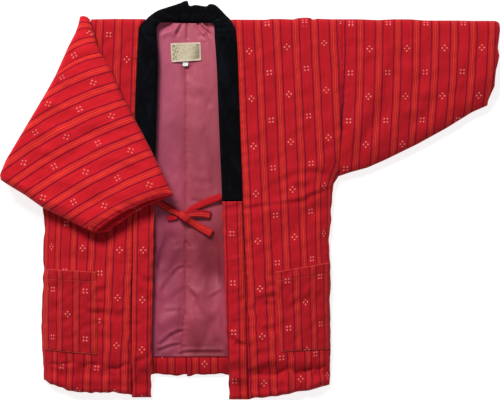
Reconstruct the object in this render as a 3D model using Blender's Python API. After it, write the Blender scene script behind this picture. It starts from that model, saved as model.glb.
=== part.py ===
"""A padded hanten laid flat on its back, its right sleeve folded over the front.

Sizes are in millimetres, from the middle of the back neck: X to the wearer's left,
Y up to the shoulder line, Z up from the surface that the garment lies on.
The wearer's right half is worked out with X pointing outwards and mirrored at the end.
"""
import bpy
import numpy as np

MM = 0.001
CENTRE = (133.95, -382.15)        # middle of the laid-out garment, seen from the back neck
SEAM = 0.3                       # space between two sewn pieces

BACK_TOP = 18.0                  # the back, pressed by what lies on it
FRONT_BASE = 20.1
FRONT_TOP = 42.0
SIDE_SEAM = (9.0, 12.85, 13.15, 17.0)    # back's and front's faces where the sides are sewn
THIN = SIDE_SEAM[3] - SIDE_SEAM[2]       # the padding at that seam
RIM = 65.0                       # width over which the front thins towards the side
HIDDEN_RIM = 35.0                # the same for the back where the front covers it
BACK_RIM = 25.0                  # how far in the back's underside curves up to the side
SEAM_DIP = 5.0                   # how far the padding is drawn in along a sewn edge
DIP_WIDTH = 12.0
BACK_DIP = 0.6                   # the same on the back, as a share
HEM_TURN = 16.0                  # width over which a turned-in hem or cuff is rounded
ARMHOLE_END = -340.0             # the armhole seam runs from the shoulder down to here
SHOULDER_RADIUS = 21.0
INNER_RADIUS = 1.05              # the same fold on the inside
SHOULDER_STEPS = 6
RIM_COLUMNS = (65.0, 45.0, 25.0, 12.0, 4.0, 0.0)
PUFFED_HEM = dict(roll=2.5, roll_at=24.0, trough=4.0, trough_at=56.0, width=14.0)
BACK_HEM = [(0.0, -755.0), (150.0, -758.0), (306.0, -766.0)]     # x, y
LINING_HEM = -718.0
LINING = 1.5

# Side and underarm seam: x, y from the hem up to the armpit and out along the sleeve.
UNDERARM = [(305.7, -830.0), (305.7, -771.0), (305.0, -718.0), (306.7, -554.0),
            (306.0, -505.0), (303.0, -470.0), (308.0, -400.0), (314.0, -349.0),
            (325.0, -333.0), (348.0, -325.0), (384.5, -315.0), (423.0, -298.0),
            (493.0, -264.0), (555.0, -230.0), (610.0, -196.0), (642.0, -182.0),
            (690.0, -161.0)]

# Heights of each row of points, where it meets the collar and at the side.
UPPER_ROWS = [(y, y) for y in (-21.0, -45.0, -75.0, -105.0, -140.0, -175.0, -210.0, -245.0,
                               -280.0, -310.0, -334.0, -349.0, -375.0, -408.0)]
LEFT_ROWS = UPPER_ROWS + [
    (-442.0, -438.0), (-476.0, -466.0), (-511.0, -492.0), (-546.0, -516.0), (-580.0, -550.0),
    (-613.0, -588.0), (-646.0, -626.0), (-680.0, -664.0), (-711.0, -701.0),
    (LINING_HEM, -713.0), (-736.0, -729.0)]
RIGHT_ROWS = UPPER_ROWS + [
    (-442.0, -438.0), (-476.0, -466.0), (-511.0, -498.0), (-541.0, -529.0), (-580.0, -565.0),
    (-614.0, -600.0), (-648.0, -634.0), (-682.0, -668.0), (-711.0, -702.0),
    (LINING_HEM, -713.0), (-736.0, -730.0)]
BACK_HEM_ROWS = [(-748.0, -750.0), (-755.0, -766.0)]

# The two halves of the body. Tables of two columns give x against y.
LEFT = dict(
    sign=1.0, rows=LEFT_ROWS,
    front_hem_rows=[(-752.0, -742.0), (-768.0, -752.0), (-785.0, -760.0), (-799.0, -767.0),
                    (-806.0, -771.0)],
    collar_seam=[(-806.0, 134.0), (-386.0, 120.0), (-64.0, 108.8), (-21.0, 105.0),
                 (0.0, 94.5)],
    collar_inner=[(-801.0, 90.5), (-383.0, 75.6), (-85.0, 64.0), (-40.0, 60.0)],
    side=[(-771.0, 305.7), (-718.0, 305.0), (-554.0, 306.7), (-505.0, 306.0),
          (-470.0, 303.0), (-400.0, 308.0), (-349.0, 314.0), (-334.0, 324.0),
          (-160.0, 327.0), (0.0, 330.6)],
    pocket_share=[(-709.0, 0.395), (-541.0, 0.348)],
    pocket_rows=(17, 22), lining_edge=100.0, armhole_dip=5.0)
RIGHT = dict(
    sign=-1.0, rows=RIGHT_ROWS,
    front_hem_rows=[(-752.0, -741.0), (-768.0, -749.0), (-784.0, -756.0), (-796.0, -761.0),
                    (-802.0, -765.0)],
    collar_seam=[(-802.0, 118.0), (-596.0, 117.0), (-161.0, 108.6), (-72.0, 104.0),
                 (-21.0, 101.0), (0.0, 88.0)],
    collar_inner=[(-801.0, 75.6), (-383.0, 69.0), (-288.0, 65.0), (-85.0, 60.0),
                  (-5.0, 64.0)],
    side=[(-765.0, 306.0), (-725.0, 306.0), (-690.0, 309.5), (-620.0, 309.5),
          (-600.0, 306.0), (-400.0, 308.0), (-349.0, 314.0), (-334.0, 324.0),
          (-298.0, 325.0), (-264.0, 318.0), (-230.0, 299.0), (-196.0, 281.0),
          (-162.0, 265.0), (-128.0, 251.0), (-94.0, 237.0), (-60.0, 224.0),
          (-25.0, 209.0), (0.0, 203.0)],
    pocket_share=[(-709.0, 0.391), (-541.0, 0.396)],
    pocket_rows=(17, 22), lining_edge=90.0, armhole_dip=0.0)
BACK_COLUMNS = (14.0, 28.0, 42.0, 56.0, 70.0)

# The spread sleeve: height of the armpit, x of the cuff's lower and upper corner, shares of
# the way out to it, and rows by distance from the underarm seam and then by share up to the
# shoulder fold.
SLEEVE_ARMPIT = -334.0
SLEEVE_CUFF = (642.0, 663.5)
SLEEVE_COLUMNS = (0.0, 0.015, 0.04, 0.12, 0.24, 0.36, 0.48, 0.6, 0.72, 0.84, 0.93, 0.98, 1.0)
SLEEVE_RIM_ROWS = (0.0, 4.0, 12.0, 25.0, 45.0, 65.0)
SLEEVE_ROWS = (0.25, 0.5, 0.75, 1.0)
POCKET = 3.0
POCKET_COLUMNS = (4, 11)

# Soft folds: from x, y to x, y, half width and height; a trough has a negative height.
FRONT_FOLDS = {
    1.0: [(268, -365, 160, -415, 16, 5), (290, -395, 190, -470, 15, -5),
          (300, -330, 215, -300, 18, -4), (150, -250, 165, -420, 22, 3),
          (280, -600, 150, -610, 20, -3), (230, -120, 245, -330, 26, 3)],
    -1.0: [(130, -520, 290, -505, 18, -4),
           (150, -660, 165, -560, 20, -3), (240, -750, 300, -600, 20, 2)]}
SLEEVE_FOLDS = [(345, -300, 430, -190, 20, -5), (350, -250, 420, -90, 20, 4),
                (470, -230, 560, -150, 22, -4), (560, -60, 640, -110, 20, 3)]
LINING_FOLDS = [(0, -20, 0, -44, 9, -3), (0, -110, 0, -700, 9, -2.5),
                (-50, -560, 0, -500, 14, 3), (0, -530, 60, -500, 14, 3),
                (-66, -700, -6, -640, 14, 3.5), (2, -640, 66, -600, 14, 2.5),
                (-40, -330, 50, -300, 22, -2)]


# The velvet: inner x, y and outer x, y, height of its underside, and thickness, from the
# left band's end up round the back neck and down to the right band's end.
VELVET = [
    (75.7, -386.0, 119.6, -386.0, 20.1, 22.5), (74.0, -340.0, 118.0, -340.0, 20.1, 23.5),
    (71.4, -280.0, 115.9, -280.0, 20.1, 24.0), (69.0, -220.0, 113.8, -220.0, 20.1, 24.0),
    (66.7, -160.0, 111.8, -160.0, 20.1, 24.0), (64.5, -105.0, 109.8, -105.0, 20.1, 24.0),
    (62.0, -65.0, 108.4, -65.0, 20.1, 24.0), (60.0, -38.0, 106.2, -38.0, 20.1, 24.0),
    (59.6, -24.0, 104.4, -21.0, 20.1, 23.0), (58.8, -14.5, 99.6, -11.0, 20.1, 21.0),
    (56.5, -6.0, 94.0, 0.5, 18.0, 22.0), (52.0, -5.2, 83.3, 11.7, 12.0, 23.0),
    (45.0, -5.0, 72.0, 23.9, 8.0, 24.0), (37.0, -4.9, 60.5, 33.7, 5.0, 25.0),
    (29.5, -4.9, 49.0, 35.4, 3.0, 26.0), (24.0, -4.9, 41.0, 31.0, 2.0, 23.0),
    (13.0, -4.8, 20.0, 33.7, 1.5, 24.0), (4.5, -4.6, 6.0, 32.2, 1.5, 23.5),
    (0.5, -4.6, 1.9, 41.7, 1.5, 26.0), (-4.0, -4.6, -5.5, 41.7, 1.5, 26.0),
    (-12.0, -4.4, -14.5, 37.7, 1.5, 24.5), (-22.0, -4.2, -29.0, 32.8, 2.0, 24.0),
    (-33.0, -3.6, -47.0, 27.0, 3.5, 24.0), (-43.0, -3.6, -61.8, 21.3, 7.0, 24.0),
    (-51.0, -4.6, -76.0, 11.7, 12.0, 23.0), (-57.0, -5.6, -87.2, 0.5, 18.0, 22.0),
    (-62.5, -13.0, -94.0, -11.0, 20.1, 21.0), (-64.0, -24.0, -100.4, -21.0, 20.1, 23.0),
    (-63.0, -45.0, -101.8, -45.0, 20.1, 23.5), (-60.5, -80.0, -103.8, -80.0, 20.1, 24.0),
    (-61.0, -120.0, -106.0, -120.0, 20.1, 24.0), (-62.5, -170.0, -108.4, -170.0, 20.1, 23.0),
    (-64.0, -215.0, -109.2, -215.0, 20.1, 21.9), (-66.0, -280.0, -110.5, -280.0, 20.1, 21.9),
    (-68.0, -340.0, -111.6, -340.0, 20.1, 21.9), (-69.2, -386.0, -112.3, -386.0, 20.1, 21.9)]
BAND_COLUMNS = (0.0, 0.07, 0.2, 0.4, 0.6, 0.8, 0.93, 1.0)
BAND_ROWS = (-386.3, -410.0, -440.0, -475.0, -510.0, -545.0, -580.0, -615.0, -650.0, -685.0,
             -724.0, -736.0, -750.0, -766.0, -783.0, -797.0)
BAND_HEM = dict(left=-806.0, right=-802.0)
BAND_ROUND = 13.0                # width over which a band's long edges are rounded

# The label's corners and the size tag's, lying on the lining.
LABEL = [(-34.5, -48.4), (29.6, -46.4), (31.3, -85.2), (-32.2, -89.5)]
SIZE_TAG = [(-8.6, -88.6), (3.2, -87.7), (3.0, -97.0), (-8.3, -97.5)]
LABEL_THICKNESS = 0.9

# Ties: x, y, height of the middle, width and thickness.
TIE_LEFT = [(73.9, -376.5, 30.2, 14.0, 4.0), (69.0, -377.5, 29.6, 14.0, 4.2),
            (52.0, -384.0, 26.5, 13.5, 4.4), (34.0, -391.5, 24.0, 13.0, 4.6),
            (16.0, -400.0, 23.4, 12.0, 5.0), (4.0, -407.0, 23.0, 9.0, 5.0),
            (-3.0, -413.5, 22.8, 7.0, 4.6), (-2.5, -420.0, 22.8, 7.0, 4.6),
            (5.0, -425.5, 23.0, 10.0, 5.0), (18.0, -433.5, 23.2, 13.0, 5.0),
            (36.0, -444.5, 23.2, 14.5, 4.8), (53.5, -455.5, 23.0, 15.0, 4.6)]
TIE_RIGHT = [(-66.6, -385.5, 29.4, 12.5, 4.0), (-62.0, -387.5, 27.5, 13.0, 4.2),
             (-50.0, -394.0, 25.5, 14.0, 4.6), (-36.0, -402.0, 25.5, 14.5, 5.0),
             (-23.0, -408.5, 27.5, 12.5, 6.0),
             (-16.0, -412.5, 31.2, 15.5, 10.0), (-10.0, -415.5, 31.6, 18.0, 11.6),
             (-4.0, -416.0, 31.2, 15.5, 10.0), (4.0, -414.5, 30.6, 11.5, 8.0),
             (20.0, -412.5, 30.0, 12.5, 7.6), (38.0, -413.0, 26.5, 14.0, 7.4),
             (50.5, -415.5, 24.5, 13.5, 6.4)]
TIE_RIGHT_END = [(-19.5, -420.5, 22.4, 8.0, 4.4), (-27.0, -421.5, 22.4, 10.5, 4.6),
                 (-41.5, -422.5, 22.2, 11.5, 4.2)]
STRAP_COLUMNS = (-1.0, -0.8, -0.35, 0.35, 0.8, 1.0)

# The folded sleeve, X outwards. Rows follow its stripes, from the cuff past the armhole seam
# to the shoulder: distance from the cuff, both ends of the row, how far it bows up between
# them, the height of its outer edge and of its top.
FOLDED = np.array([
    # from cuff  outer x   y    inner x    y     bow  edge  top
    (0.0, 205.5, -450.1, 28.8, -369.1, 10.0, 52.0, 78.0),
    (56.0, 263.0, -420.5, 56.9, -312.0, 6.5, 47.0, 80.0),
    (96.0, 306.0, -399.4, 74.5, -276.9, 8.7, 32.0, 80.0),
    (136.0, 344.9, -371.7, 93.7, -239.6, 9.8, 20.0, 80.0),
    (176.0, 382.3, -349.3, 113.3, -203.8, 11.7, 20.0, 80.0),
    (190.0, 393.5, -340.8, 119.1, -191.3, 12.0, 26.0, 80.0),
    (200.0, 395.6, -329.0, 122.5, -183.2, 12.5, 34.0, 80.0),
    (216.0, 382.8, -299.3, 131.4, -171.5, 13.3, 38.0, 80.0),
    (256.0, 338.7, -224.7, 148.0, -134.2, 8.8, 40.0, 80.0),
    (296.0, 297.0, -154.4, 164.6, -98.0, 5.5, 40.0, 79.0),
    (333.0, 278.0, -120.3, 181.0, -72.4, 9.0, 40.0, 78.0),
    (356.0, 262.0, -83.7, 190.6, -49.0, 6.1, 39.0, 76.0),
    (376.0, 252.0, -61.0, 193.4, -36.0, 8.0, 38.0, 74.0),
    (396.0, 235.4, -27.7, 198.0, -23.4, 6.0, 36.0, 71.0),
    (412.0, 229.8, -10.0, 202.4, -10.7, 3.0, 34.0, 67.0),
    (426.0, 226.8, 5.3, 204.5, -0.4, 4.0, 32.0, 60.0)])
FOLDED_SLEEVE_ROWS = (34.0, 56.0, 76.0, 96.0, 116.0, 136.0, 156.0, 176.0, 190.0, 200.0, 216.0,
                      236.0, 256.0, 276.0, 296.0, 318.0, 333.0)
FOLDED_BODY_ROWS = (333.3, 345.0, 356.0, 376.0, 396.0, 412.0, 426.0)
ARMHOLE_ROW = 333.0
FOLD_CLEARANCE = 4.0             # between the body's edge and the fold that goes round it
CUFF_DEPTH = 24.0                # the slit between the sleeve's two layers
CUFF_JUT = 19.0                  # how far the lower layer shows beyond the upper one
FOLDED_FOLDS = [(300, -330, 200, -250, 22, -4), (250, -250, 160, -190, 26, 3),
                (340, -250, 280, -170, 20, 3), (215, -400, 120, -330, 18, -3)]


def unit(values):
    return np.clip(values, 0.0, 1.0)


def ease(values):
    share = unit(values)
    return share * share * (3.0 - 2.0 * share)


def rim(distance, width):
    """A quarter of an ellipse: 0 at the edge, 1 from the width inwards."""
    return np.sqrt(1.0 - (1.0 - unit(distance / width)) ** 2)


def mix(low, high, share):
    return low + (high - low) * share


def read(table, at):
    """The second column of a table, read at values of its first."""
    rows = np.array(sorted(table), dtype=float)
    return np.interp(at, rows[:, 0], rows[:, 1])


def seam_distance(x, y):
    """How far a point lies inside the side and underarm seam."""
    points = np.array(UNDERARM)
    nearest = np.full(np.shape(x), 1e6)
    signed = np.zeros(np.shape(x))
    for (x0, y0), (x1, y1) in zip(points[:-1], points[1:]):
        run = unit(((x - x0) * (x1 - x0) + (y - y0) * (y1 - y0))
                   / ((x1 - x0) ** 2 + (y1 - y0) ** 2))
        away = np.hypot(x - mix(x0, x1, run), y - mix(y0, y1, run))
        side = (x1 - x0) * (y - y0) - (y1 - y0) * (x - x0)
        signed = np.where(away < nearest, away * np.sign(side), signed)
        nearest = np.minimum(away, nearest)
    return signed


def folds(table, x, y):
    """Ridges and troughs along short lines, dying away to the sides and the ends."""
    height = np.zeros(np.shape(x))
    for x0, y0, x1, y1, width, rise in table:
        run = ((x - x0) * (x1 - x0) + (y - y0) * (y1 - y0)) / ((x1 - x0) ** 2 + (y1 - y0) ** 2)
        away = np.hypot(x - mix(x0, x1, unit(run)), y - mix(y0, y1, unit(run)))
        height = height + rise * np.exp(-(away / width) ** 2)
    return height


def round_edge(outer, inner, distance, width, least=0.25):
    """Draw both faces of a sheet together where it is turned in at a free edge."""
    middle = (outer + inner) / 2.0
    share = (least + (1.0 - least) * rim(distance, width))[..., None]
    return middle + (outer - middle) * share, middle + (inner - middle) * share


def material(name, colour, roughness):
    finish = bpy.data.materials.new(name)
    finish.use_nodes = True
    shader = finish.node_tree.nodes["Principled BSDF"]
    shader.inputs["Base Color"].default_value = (*colour, 1.0)
    shader.inputs["Roughness"].default_value = roughness
    shader.inputs["Metallic"].default_value = 0.0
    finish.diffuse_color = (*colour, 1.0)
    return finish


def closed_sheet(name, outer, inner, finish, sign=1.0, keep=None):
    """A padded sheet: two grids of points, and a wall between them round every edge."""
    rows, columns = outer.shape[:2]
    keep = np.ones((rows - 1, columns - 1), bool) if keep is None else keep
    count = rows * columns
    points = np.concatenate([outer.reshape(-1, 3), inner.reshape(-1, 3)])
    points = (points * (sign, 1.0, 1.0) - (CENTRE[0], CENTRE[1], 0.0)) * MM
    index = np.arange(count).reshape(rows, columns)
    a, b = index[:-1, :-1][keep], index[:-1, 1:][keep]
    d, c = index[1:, :-1][keep], index[1:, 1:][keep]
    sides = np.concatenate([np.stack(pair, 1) for pair in ((a, b), (b, c), (c, d), (d, a))])
    border = sides[~np.isin(sides[:, 0] * count + sides[:, 1],
                            sides[:, 1] * count + sides[:, 0])]
    p, q = border.T
    faces = np.concatenate([np.stack(corners, 1) for corners in (
        (a, b, c), (a, c, d), (a + count, c + count, b + count),
        (a + count, d + count, c + count), (q, p, p + count), (q, p + count, q + count))])
    corner = points[faces]
    volume = np.einsum("ij,ij->", corner[:, 0], np.cross(corner[:, 1], corner[:, 2]))
    faces = faces if volume > 0.0 else faces[:, ::-1]
    used, faces = np.unique(faces, return_inverse=True)
    mesh = bpy.data.meshes.new(name)
    mesh.from_pydata(points[used].tolist(), [], faces.reshape(-1, 3).tolist())
    mesh.materials.append(finish)
    mesh.shade_smooth()
    mesh.set_sharp_from_angle(angle=0.7)
    piece = bpy.data.objects.new(name, mesh)
    bpy.context.scene.collection.objects.link(piece)
    return piece


def pressed(y):
    """How much of its height the back keeps where the fronts come down at the hem."""
    return 1.0 - 0.7 * ease((-724.0 - y) / 36.0)


def hidden_back_top(x, y):
    low, high = SIDE_SEAM[1], BACK_TOP
    return mix(low, high, rim(seam_distance(x, y), HIDDEN_RIM)) * pressed(y)


def front_base(x, y):
    """Underside of what lies on the back; past the back's hem it comes down to the floor."""
    space = mix(SEAM, FRONT_BASE - BACK_TOP, rim(seam_distance(x, y), HIDDEN_RIM))
    past = ease((read(BACK_HEM, x) - 1.0 - y) / 25.0)
    return (hidden_back_top(x, y) + space) * (1.0 - past)


def front_height(x, y):
    full = FRONT_TOP - FRONT_BASE
    return front_base(x, y) + mix(THIN, full, rim(seam_distance(x, y), RIM))


def pressed_by_sleeve(half, x, y):
    """How far the folded sleeve presses the front down at the armpit under it."""
    if half["sign"] > 0.0:
        return 0.0
    near = ease((x - 262.0) / 20.0) * ease((y + 392.0) / 14.0) * ease((-235.0 - y) / 35.0)
    wide = ease((x - 222.0) / 20.0) * ease((y + 396.0) / 14.0)
    return 7.0 * near + 4.0 * wide


def body_columns(half, row):
    """X of each point of a row, from the collar seam to the side."""
    at_collar, at_side = row
    inner, outer = read(half["collar_seam"], at_collar), read(half["side"], at_side)
    rims = outer - np.array(RIM_COLUMNS) * min(1.0, 0.45 * (outer - inner) / RIM)
    pocket = mix(inner, outer, read(half["pocket_share"], at_collar))
    return np.array([inner, inner + 5.0, inner + 14.0, (inner + 14.0 + pocket) / 2.0, pocket,
                     mix(pocket, rims[0], 0.33), mix(pocket, rims[0], 0.67), *rims])


def body_row(half, row):
    x = body_columns(half, row)
    share = (x - x[0]) / (x[-1] - x[0])
    return x, mix(row[0], row[1], share)


def neck(x):
    """The back neck seam, straight behind the neck and down to the shoulders."""
    return np.maximum(-5.6 - 0.0056 * np.maximum(x - 34.0, 0.0) ** 2, -SHOULDER_RADIUS)


def back_relief(half, x, y):
    """Wrinkles of the lining and the padding under it, between the collar bands."""
    seen = ease((read(half["collar_inner"], y) - 4.0 - x) / 14.0)
    under_label = ease((48.0 - x) / 4.0) * ease((y + 110.0) / 4.0) * ease((-38.0 - y) / 4.0)
    above_hem = ease((y - LINING_HEM) / 20.0)
    wrinkles = folds(LINING_FOLDS, x * half["sign"], y) * seen * (1.0 - under_label) * above_hem
    under_ties = ease((y + 490.0) / 12.0) * ease((-355.0 - y) / 12.0)
    return np.minimum(wrinkles, 0.0) + np.maximum(wrinkles, 0.0) * (1.0 - under_ties)


def back_top(half, x, y):
    """Top of the back: full between the fronts, pressed under them."""
    seen = ease((read(half["collar_inner"], y) - 2.0 - x) / 16.0)
    hem_roll = 2.0 * np.exp(-((y + 738.0) / 12.0) ** 2)
    open_back = BACK_TOP + back_relief(half, x, y) + hem_roll * (y < LINING_HEM - 1.0)
    return mix(hidden_back_top(x, y), open_back, seen)


def armhole_dip(half, row, x):
    """The padding drawn in along the armhole seam, at the outer end of a row."""
    on_seam = row[1] > ARMHOLE_END
    return half["armhole_dip"] * (1.0 - rim(x[-1] - x, DIP_WIDTH)) * on_seam


def body(name, half, finish):
    """One half of the body: front, shoulder fold and back in one length of padded cloth.

    Returns the front's outer points, hem first, and the back's inner ones from the neck."""
    rows = half["rows"]
    front_rows = half["front_hem_rows"][::-1] + rows[::-1]
    hem_row = half["front_hem_rows"][-1]
    puff = PUFFED_HEM
    outer, inner = [], []
    for row in front_rows:
        x, y = body_row(half, row)
        hem = y - mix(hem_row[0], hem_row[1], (x - x[0]) / (x[-1] - x[0]))
        rise = (puff["roll"] * np.exp(-((hem - puff["roll_at"]) / puff["width"]) ** 2)
                - puff["trough"] * np.exp(-((hem - puff["trough_at"]) / puff["width"]) ** 2)
                + folds(FRONT_FOLDS[half["sign"]], x, y) * (row != rows[0]))
        rise = rise * rim(seam_distance(x, y), RIM)
        dip = SEAM_DIP * (1.0 - rim(x - x[0], DIP_WIDTH))
        armhole = armhole_dip(half, row, x)
        height = np.maximum(front_height(x, y) - pressed_by_sleeve(half, x, y),
                            front_base(x, y) + THIN)
        top = np.stack([x, y, height + rise - dip - armhole], 1)
        base = np.stack([x, y, front_base(x, y)], 1)
        top, base = round_edge(top, base, hem, HEM_TURN)
        outer.append(top)
        inner.append(base)
    front_top = outer[-1]
    for step in range(1, SHOULDER_STEPS):
        turn = np.pi * step / SHOULDER_STEPS
        across = np.array([np.sin(turn), np.cos(turn)])
        y = -SHOULDER_RADIUS * (1.0 - across[0])
        x = body_columns(half, (y, y))
        half_height = front_top[:, 2] / 2.0
        outer.append(np.stack([x, np.full_like(x, y), half_height * (1.0 + across[1])], 1))
        y = -SHOULDER_RADIUS + INNER_RADIUS * across[0]
        x = body_columns(half, (y, y))
        height = (BACK_TOP + FRONT_BASE) / 2.0 + INNER_RADIUS * across[1]
        inner.append(np.stack([x, np.full_like(x, y), np.full_like(x, height)], 1))
    first_front = len(BACK_COLUMNS) + 2
    outer, inner = ([np.concatenate([np.repeat(points[:1], first_front, 0), points])
                     for points in face] for face in (outer, inner))
    first_back = len(outer)
    for row in rows + BACK_HEM_ROWS:
        x, y = body_row(half, row)
        middle = np.array([SEAM / 2.0, *BACK_COLUMNS, half["lining_edge"]])
        x, y = np.concatenate([middle, x]), np.concatenate([np.full_like(middle, row[0]), y])
        if row == rows[0]:
            y = np.where(x < x[first_front], neck(x), y)
        away = seam_distance(x, y)
        under = SIDE_SEAM[0] * pressed(y) * (1.0 - rim(away, BACK_RIM))
        under = under + BACK_DIP * armhole_dip(half, row, x)
        base = np.stack([x, y, under], 1)
        top = np.stack([x, y, back_top(half, x, y)], 1)
        base, top = round_edge(base, top, y - read(BACK_HEM, x), HEM_TURN)
        outer.append(base)
        inner.append(top)
    outer, inner = np.array(outer), np.array(inner)
    cells = np.ones((len(outer) - 1, outer.shape[1] - 1), bool)
    cells[:first_back, :first_front] = False
    closed_sheet(name, outer, inner, finish, half["sign"], cells)
    return outer[:len(front_rows), first_front:], inner[first_back:, :first_front]


def lining(name, half, under, finish):
    """The lining of one half of the back, on the back's own points, down to its hem."""
    under = under[:[row[0] for row in half["rows"]].index(LINING_HEM) + 1]
    lift = np.array([0.0, 0.0, SEAM])
    thick = np.array([0.0, 0.0, SEAM + LINING])
    closed_sheet(name, under + thick, under + lift, finish, half["sign"])


def grid_normals(grid):
    down, across = np.gradient(grid, axis=0), np.gradient(grid, axis=1)
    normal = np.cross(down, across)
    normal = normal * np.sign(normal[..., 2:])
    return normal / np.linalg.norm(normal, axis=2, keepdims=True)


def pocket(name, half, front, finish):
    """A patch pocket on the front's own points, moved out from its surface."""
    top_row, bottom_row = half["pocket_rows"]
    inner_column, outer_column = POCKET_COLUMNS
    shoulder = len(front) - 1
    block = np.s_[shoulder - bottom_row:shoulder - top_row + 1, inner_column:outer_column + 1]
    normal = grid_normals(front)[block]
    under = front[block] + normal * (SEAM + 0.1)
    closed_sheet(name, under + normal * POCKET, under, finish, half["sign"])


def sleeve_left(finish):
    """A padded tube: front underarm seam, over the folded top edge, to the back seam."""
    along = np.array(SLEEVE_COLUMNS)
    points = np.array(UNDERARM)
    armpit = (read(LEFT["side"], SLEEVE_ARMPIT) + SEAM, read(LEFT["side"], 0.0) + SEAM)
    seam_x = mix(armpit[0], SLEEVE_CUFF[0], along)
    seam_y = np.interp(seam_x, points[8:, 0], points[8:, 1]) + 0.5
    fold_x = mix(armpit[1], SLEEVE_CUFF[1], along)
    height = -SHOULDER_RADIUS - seam_y
    shares = [distance / height for distance in SLEEVE_RIM_ROWS]
    shares += [mix(shares[-1], 1.0, share) for share in SLEEVE_ROWS]
    front, back = [], []
    for share in shares:
        x, y = mix(seam_x, fold_x, share), mix(seam_y, -SHOULDER_RADIUS, share)
        away = seam_distance(x, y)
        dip = SEAM_DIP * (1.0 - rim(x - x[0], DIP_WIDTH))
        soft = folds(SLEEVE_FOLDS, x, y) * rim(away, RIM) * rim(x - x[0], 40.0)
        under = SIDE_SEAM[0] * (1.0 - rim(away, BACK_RIM)) + BACK_DIP * dip
        front.append([np.stack([x, y, z], 1)
                      for z in (front_height(x, y) - dip + soft, front_base(x, y))])
        back.append([np.stack([x, y, z], 1) for z in (under, hidden_back_top(x, y))])
    shoulder = []
    for turn in np.pi * np.arange(1, SHOULDER_STEPS) / SHOULDER_STEPS:
        sweep = 0.5 * (1.0 + np.cos(turn))
        y = np.full_like(fold_x, -SHOULDER_RADIUS * (1.0 - np.sin(turn)))
        z = mix(back[-1][0][:, 2], front[-1][0][:, 2], sweep)
        inner_y = np.full_like(fold_x, -SHOULDER_RADIUS + INNER_RADIUS * np.sin(turn))
        inner_z = np.full_like(fold_x, mix(BACK_TOP, FRONT_BASE, sweep))
        shoulder.append([np.stack([fold_x, y, z], 1), np.stack([fold_x, inner_y, inner_z], 1)])
    outer, inner = np.array(front + shoulder + back[::-1]).swapaxes(0, 1)
    from_cuff = (1.0 - along) * (SLEEVE_CUFF[0] - armpit[0]) + 0.0 * outer[..., 0]
    outer, inner = round_edge(outer, inner, from_cuff, HEM_TURN)
    closed_sheet("sleeve_left", outer, inner, finish)


def band(name, stations, finish, sign=1.0, hem=None):
    """A flat padded band through stations of inner and outer edge, underside and thickness."""
    top, base = [], []
    across = np.array(BAND_COLUMNS)
    for inner_x, inner_y, outer_x, outer_y, low, thickness in stations:
        x, y = mix(inner_x, outer_x, across), mix(inner_y, outer_y, across)
        under = front_base(x, y) if hem else np.full_like(x, low)
        width = np.hypot(outer_x - inner_x, outer_y - inner_y)
        over = np.stack([x, y, under + thickness], 1)
        over, under = round_edge(over, np.stack([x, y, under], 1),
                                 np.minimum(across, 1.0 - across) * width, BAND_ROUND)
        if hem:
            over, under = round_edge(over, under, y - hem, HEM_TURN)
        top.append(over)
        base.append(under)
    closed_sheet(name, np.array(top), np.array(base), finish, sign)


def collar_end(name, half, hem, finish):
    """The striped end of the collar, below the velvet."""
    stations = []
    for y in (*BAND_ROWS, hem):
        seam = read(half["collar_seam"], y) - SEAM
        stations.append((read(half["collar_inner"], y), y, seam, y, FRONT_BASE,
                         FRONT_TOP - FRONT_BASE))
    band(name, stations, finish, half["sign"], hem)


def strap(name, stations, finish):
    """A flat tube of cloth along stations of x, y, height, width and thickness."""
    x, y, z, width, thickness = np.array(stations).T
    along = np.stack([np.gradient(x), np.gradient(y)], 1)
    along = along / np.linalg.norm(along, axis=1, keepdims=True)
    across = np.array(STRAP_COLUMNS)
    half_width = width[:, None] / 2.0 * across
    half_height = thickness[:, None] / 2.0 * np.sqrt(1.0 - 0.9 * across ** 4)
    flat_x = x[:, None] - along[:, 1:] * half_width
    flat_y = y[:, None] + along[:, :1] * half_width
    top = np.stack([flat_x, flat_y, z[:, None] + half_height], 2)
    base = np.stack([flat_x, flat_y, z[:, None] - half_height], 2)
    closed_sheet(name, top, base, finish)


def patch(name, corners, finish):
    """A thin flat patch on the lining, from its four corners."""
    corners = np.array([(x, y, 0.0) for x, y in corners])
    grid = np.array([[corners[0], corners[1]], [corners[3], corners[2]]])
    low = BACK_TOP + SEAM + LINING + SEAM
    base = grid + (0.0, 0.0, low)
    closed_sheet(name, base + (0.0, 0.0, LABEL_THICKNESS), base, finish)


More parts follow.
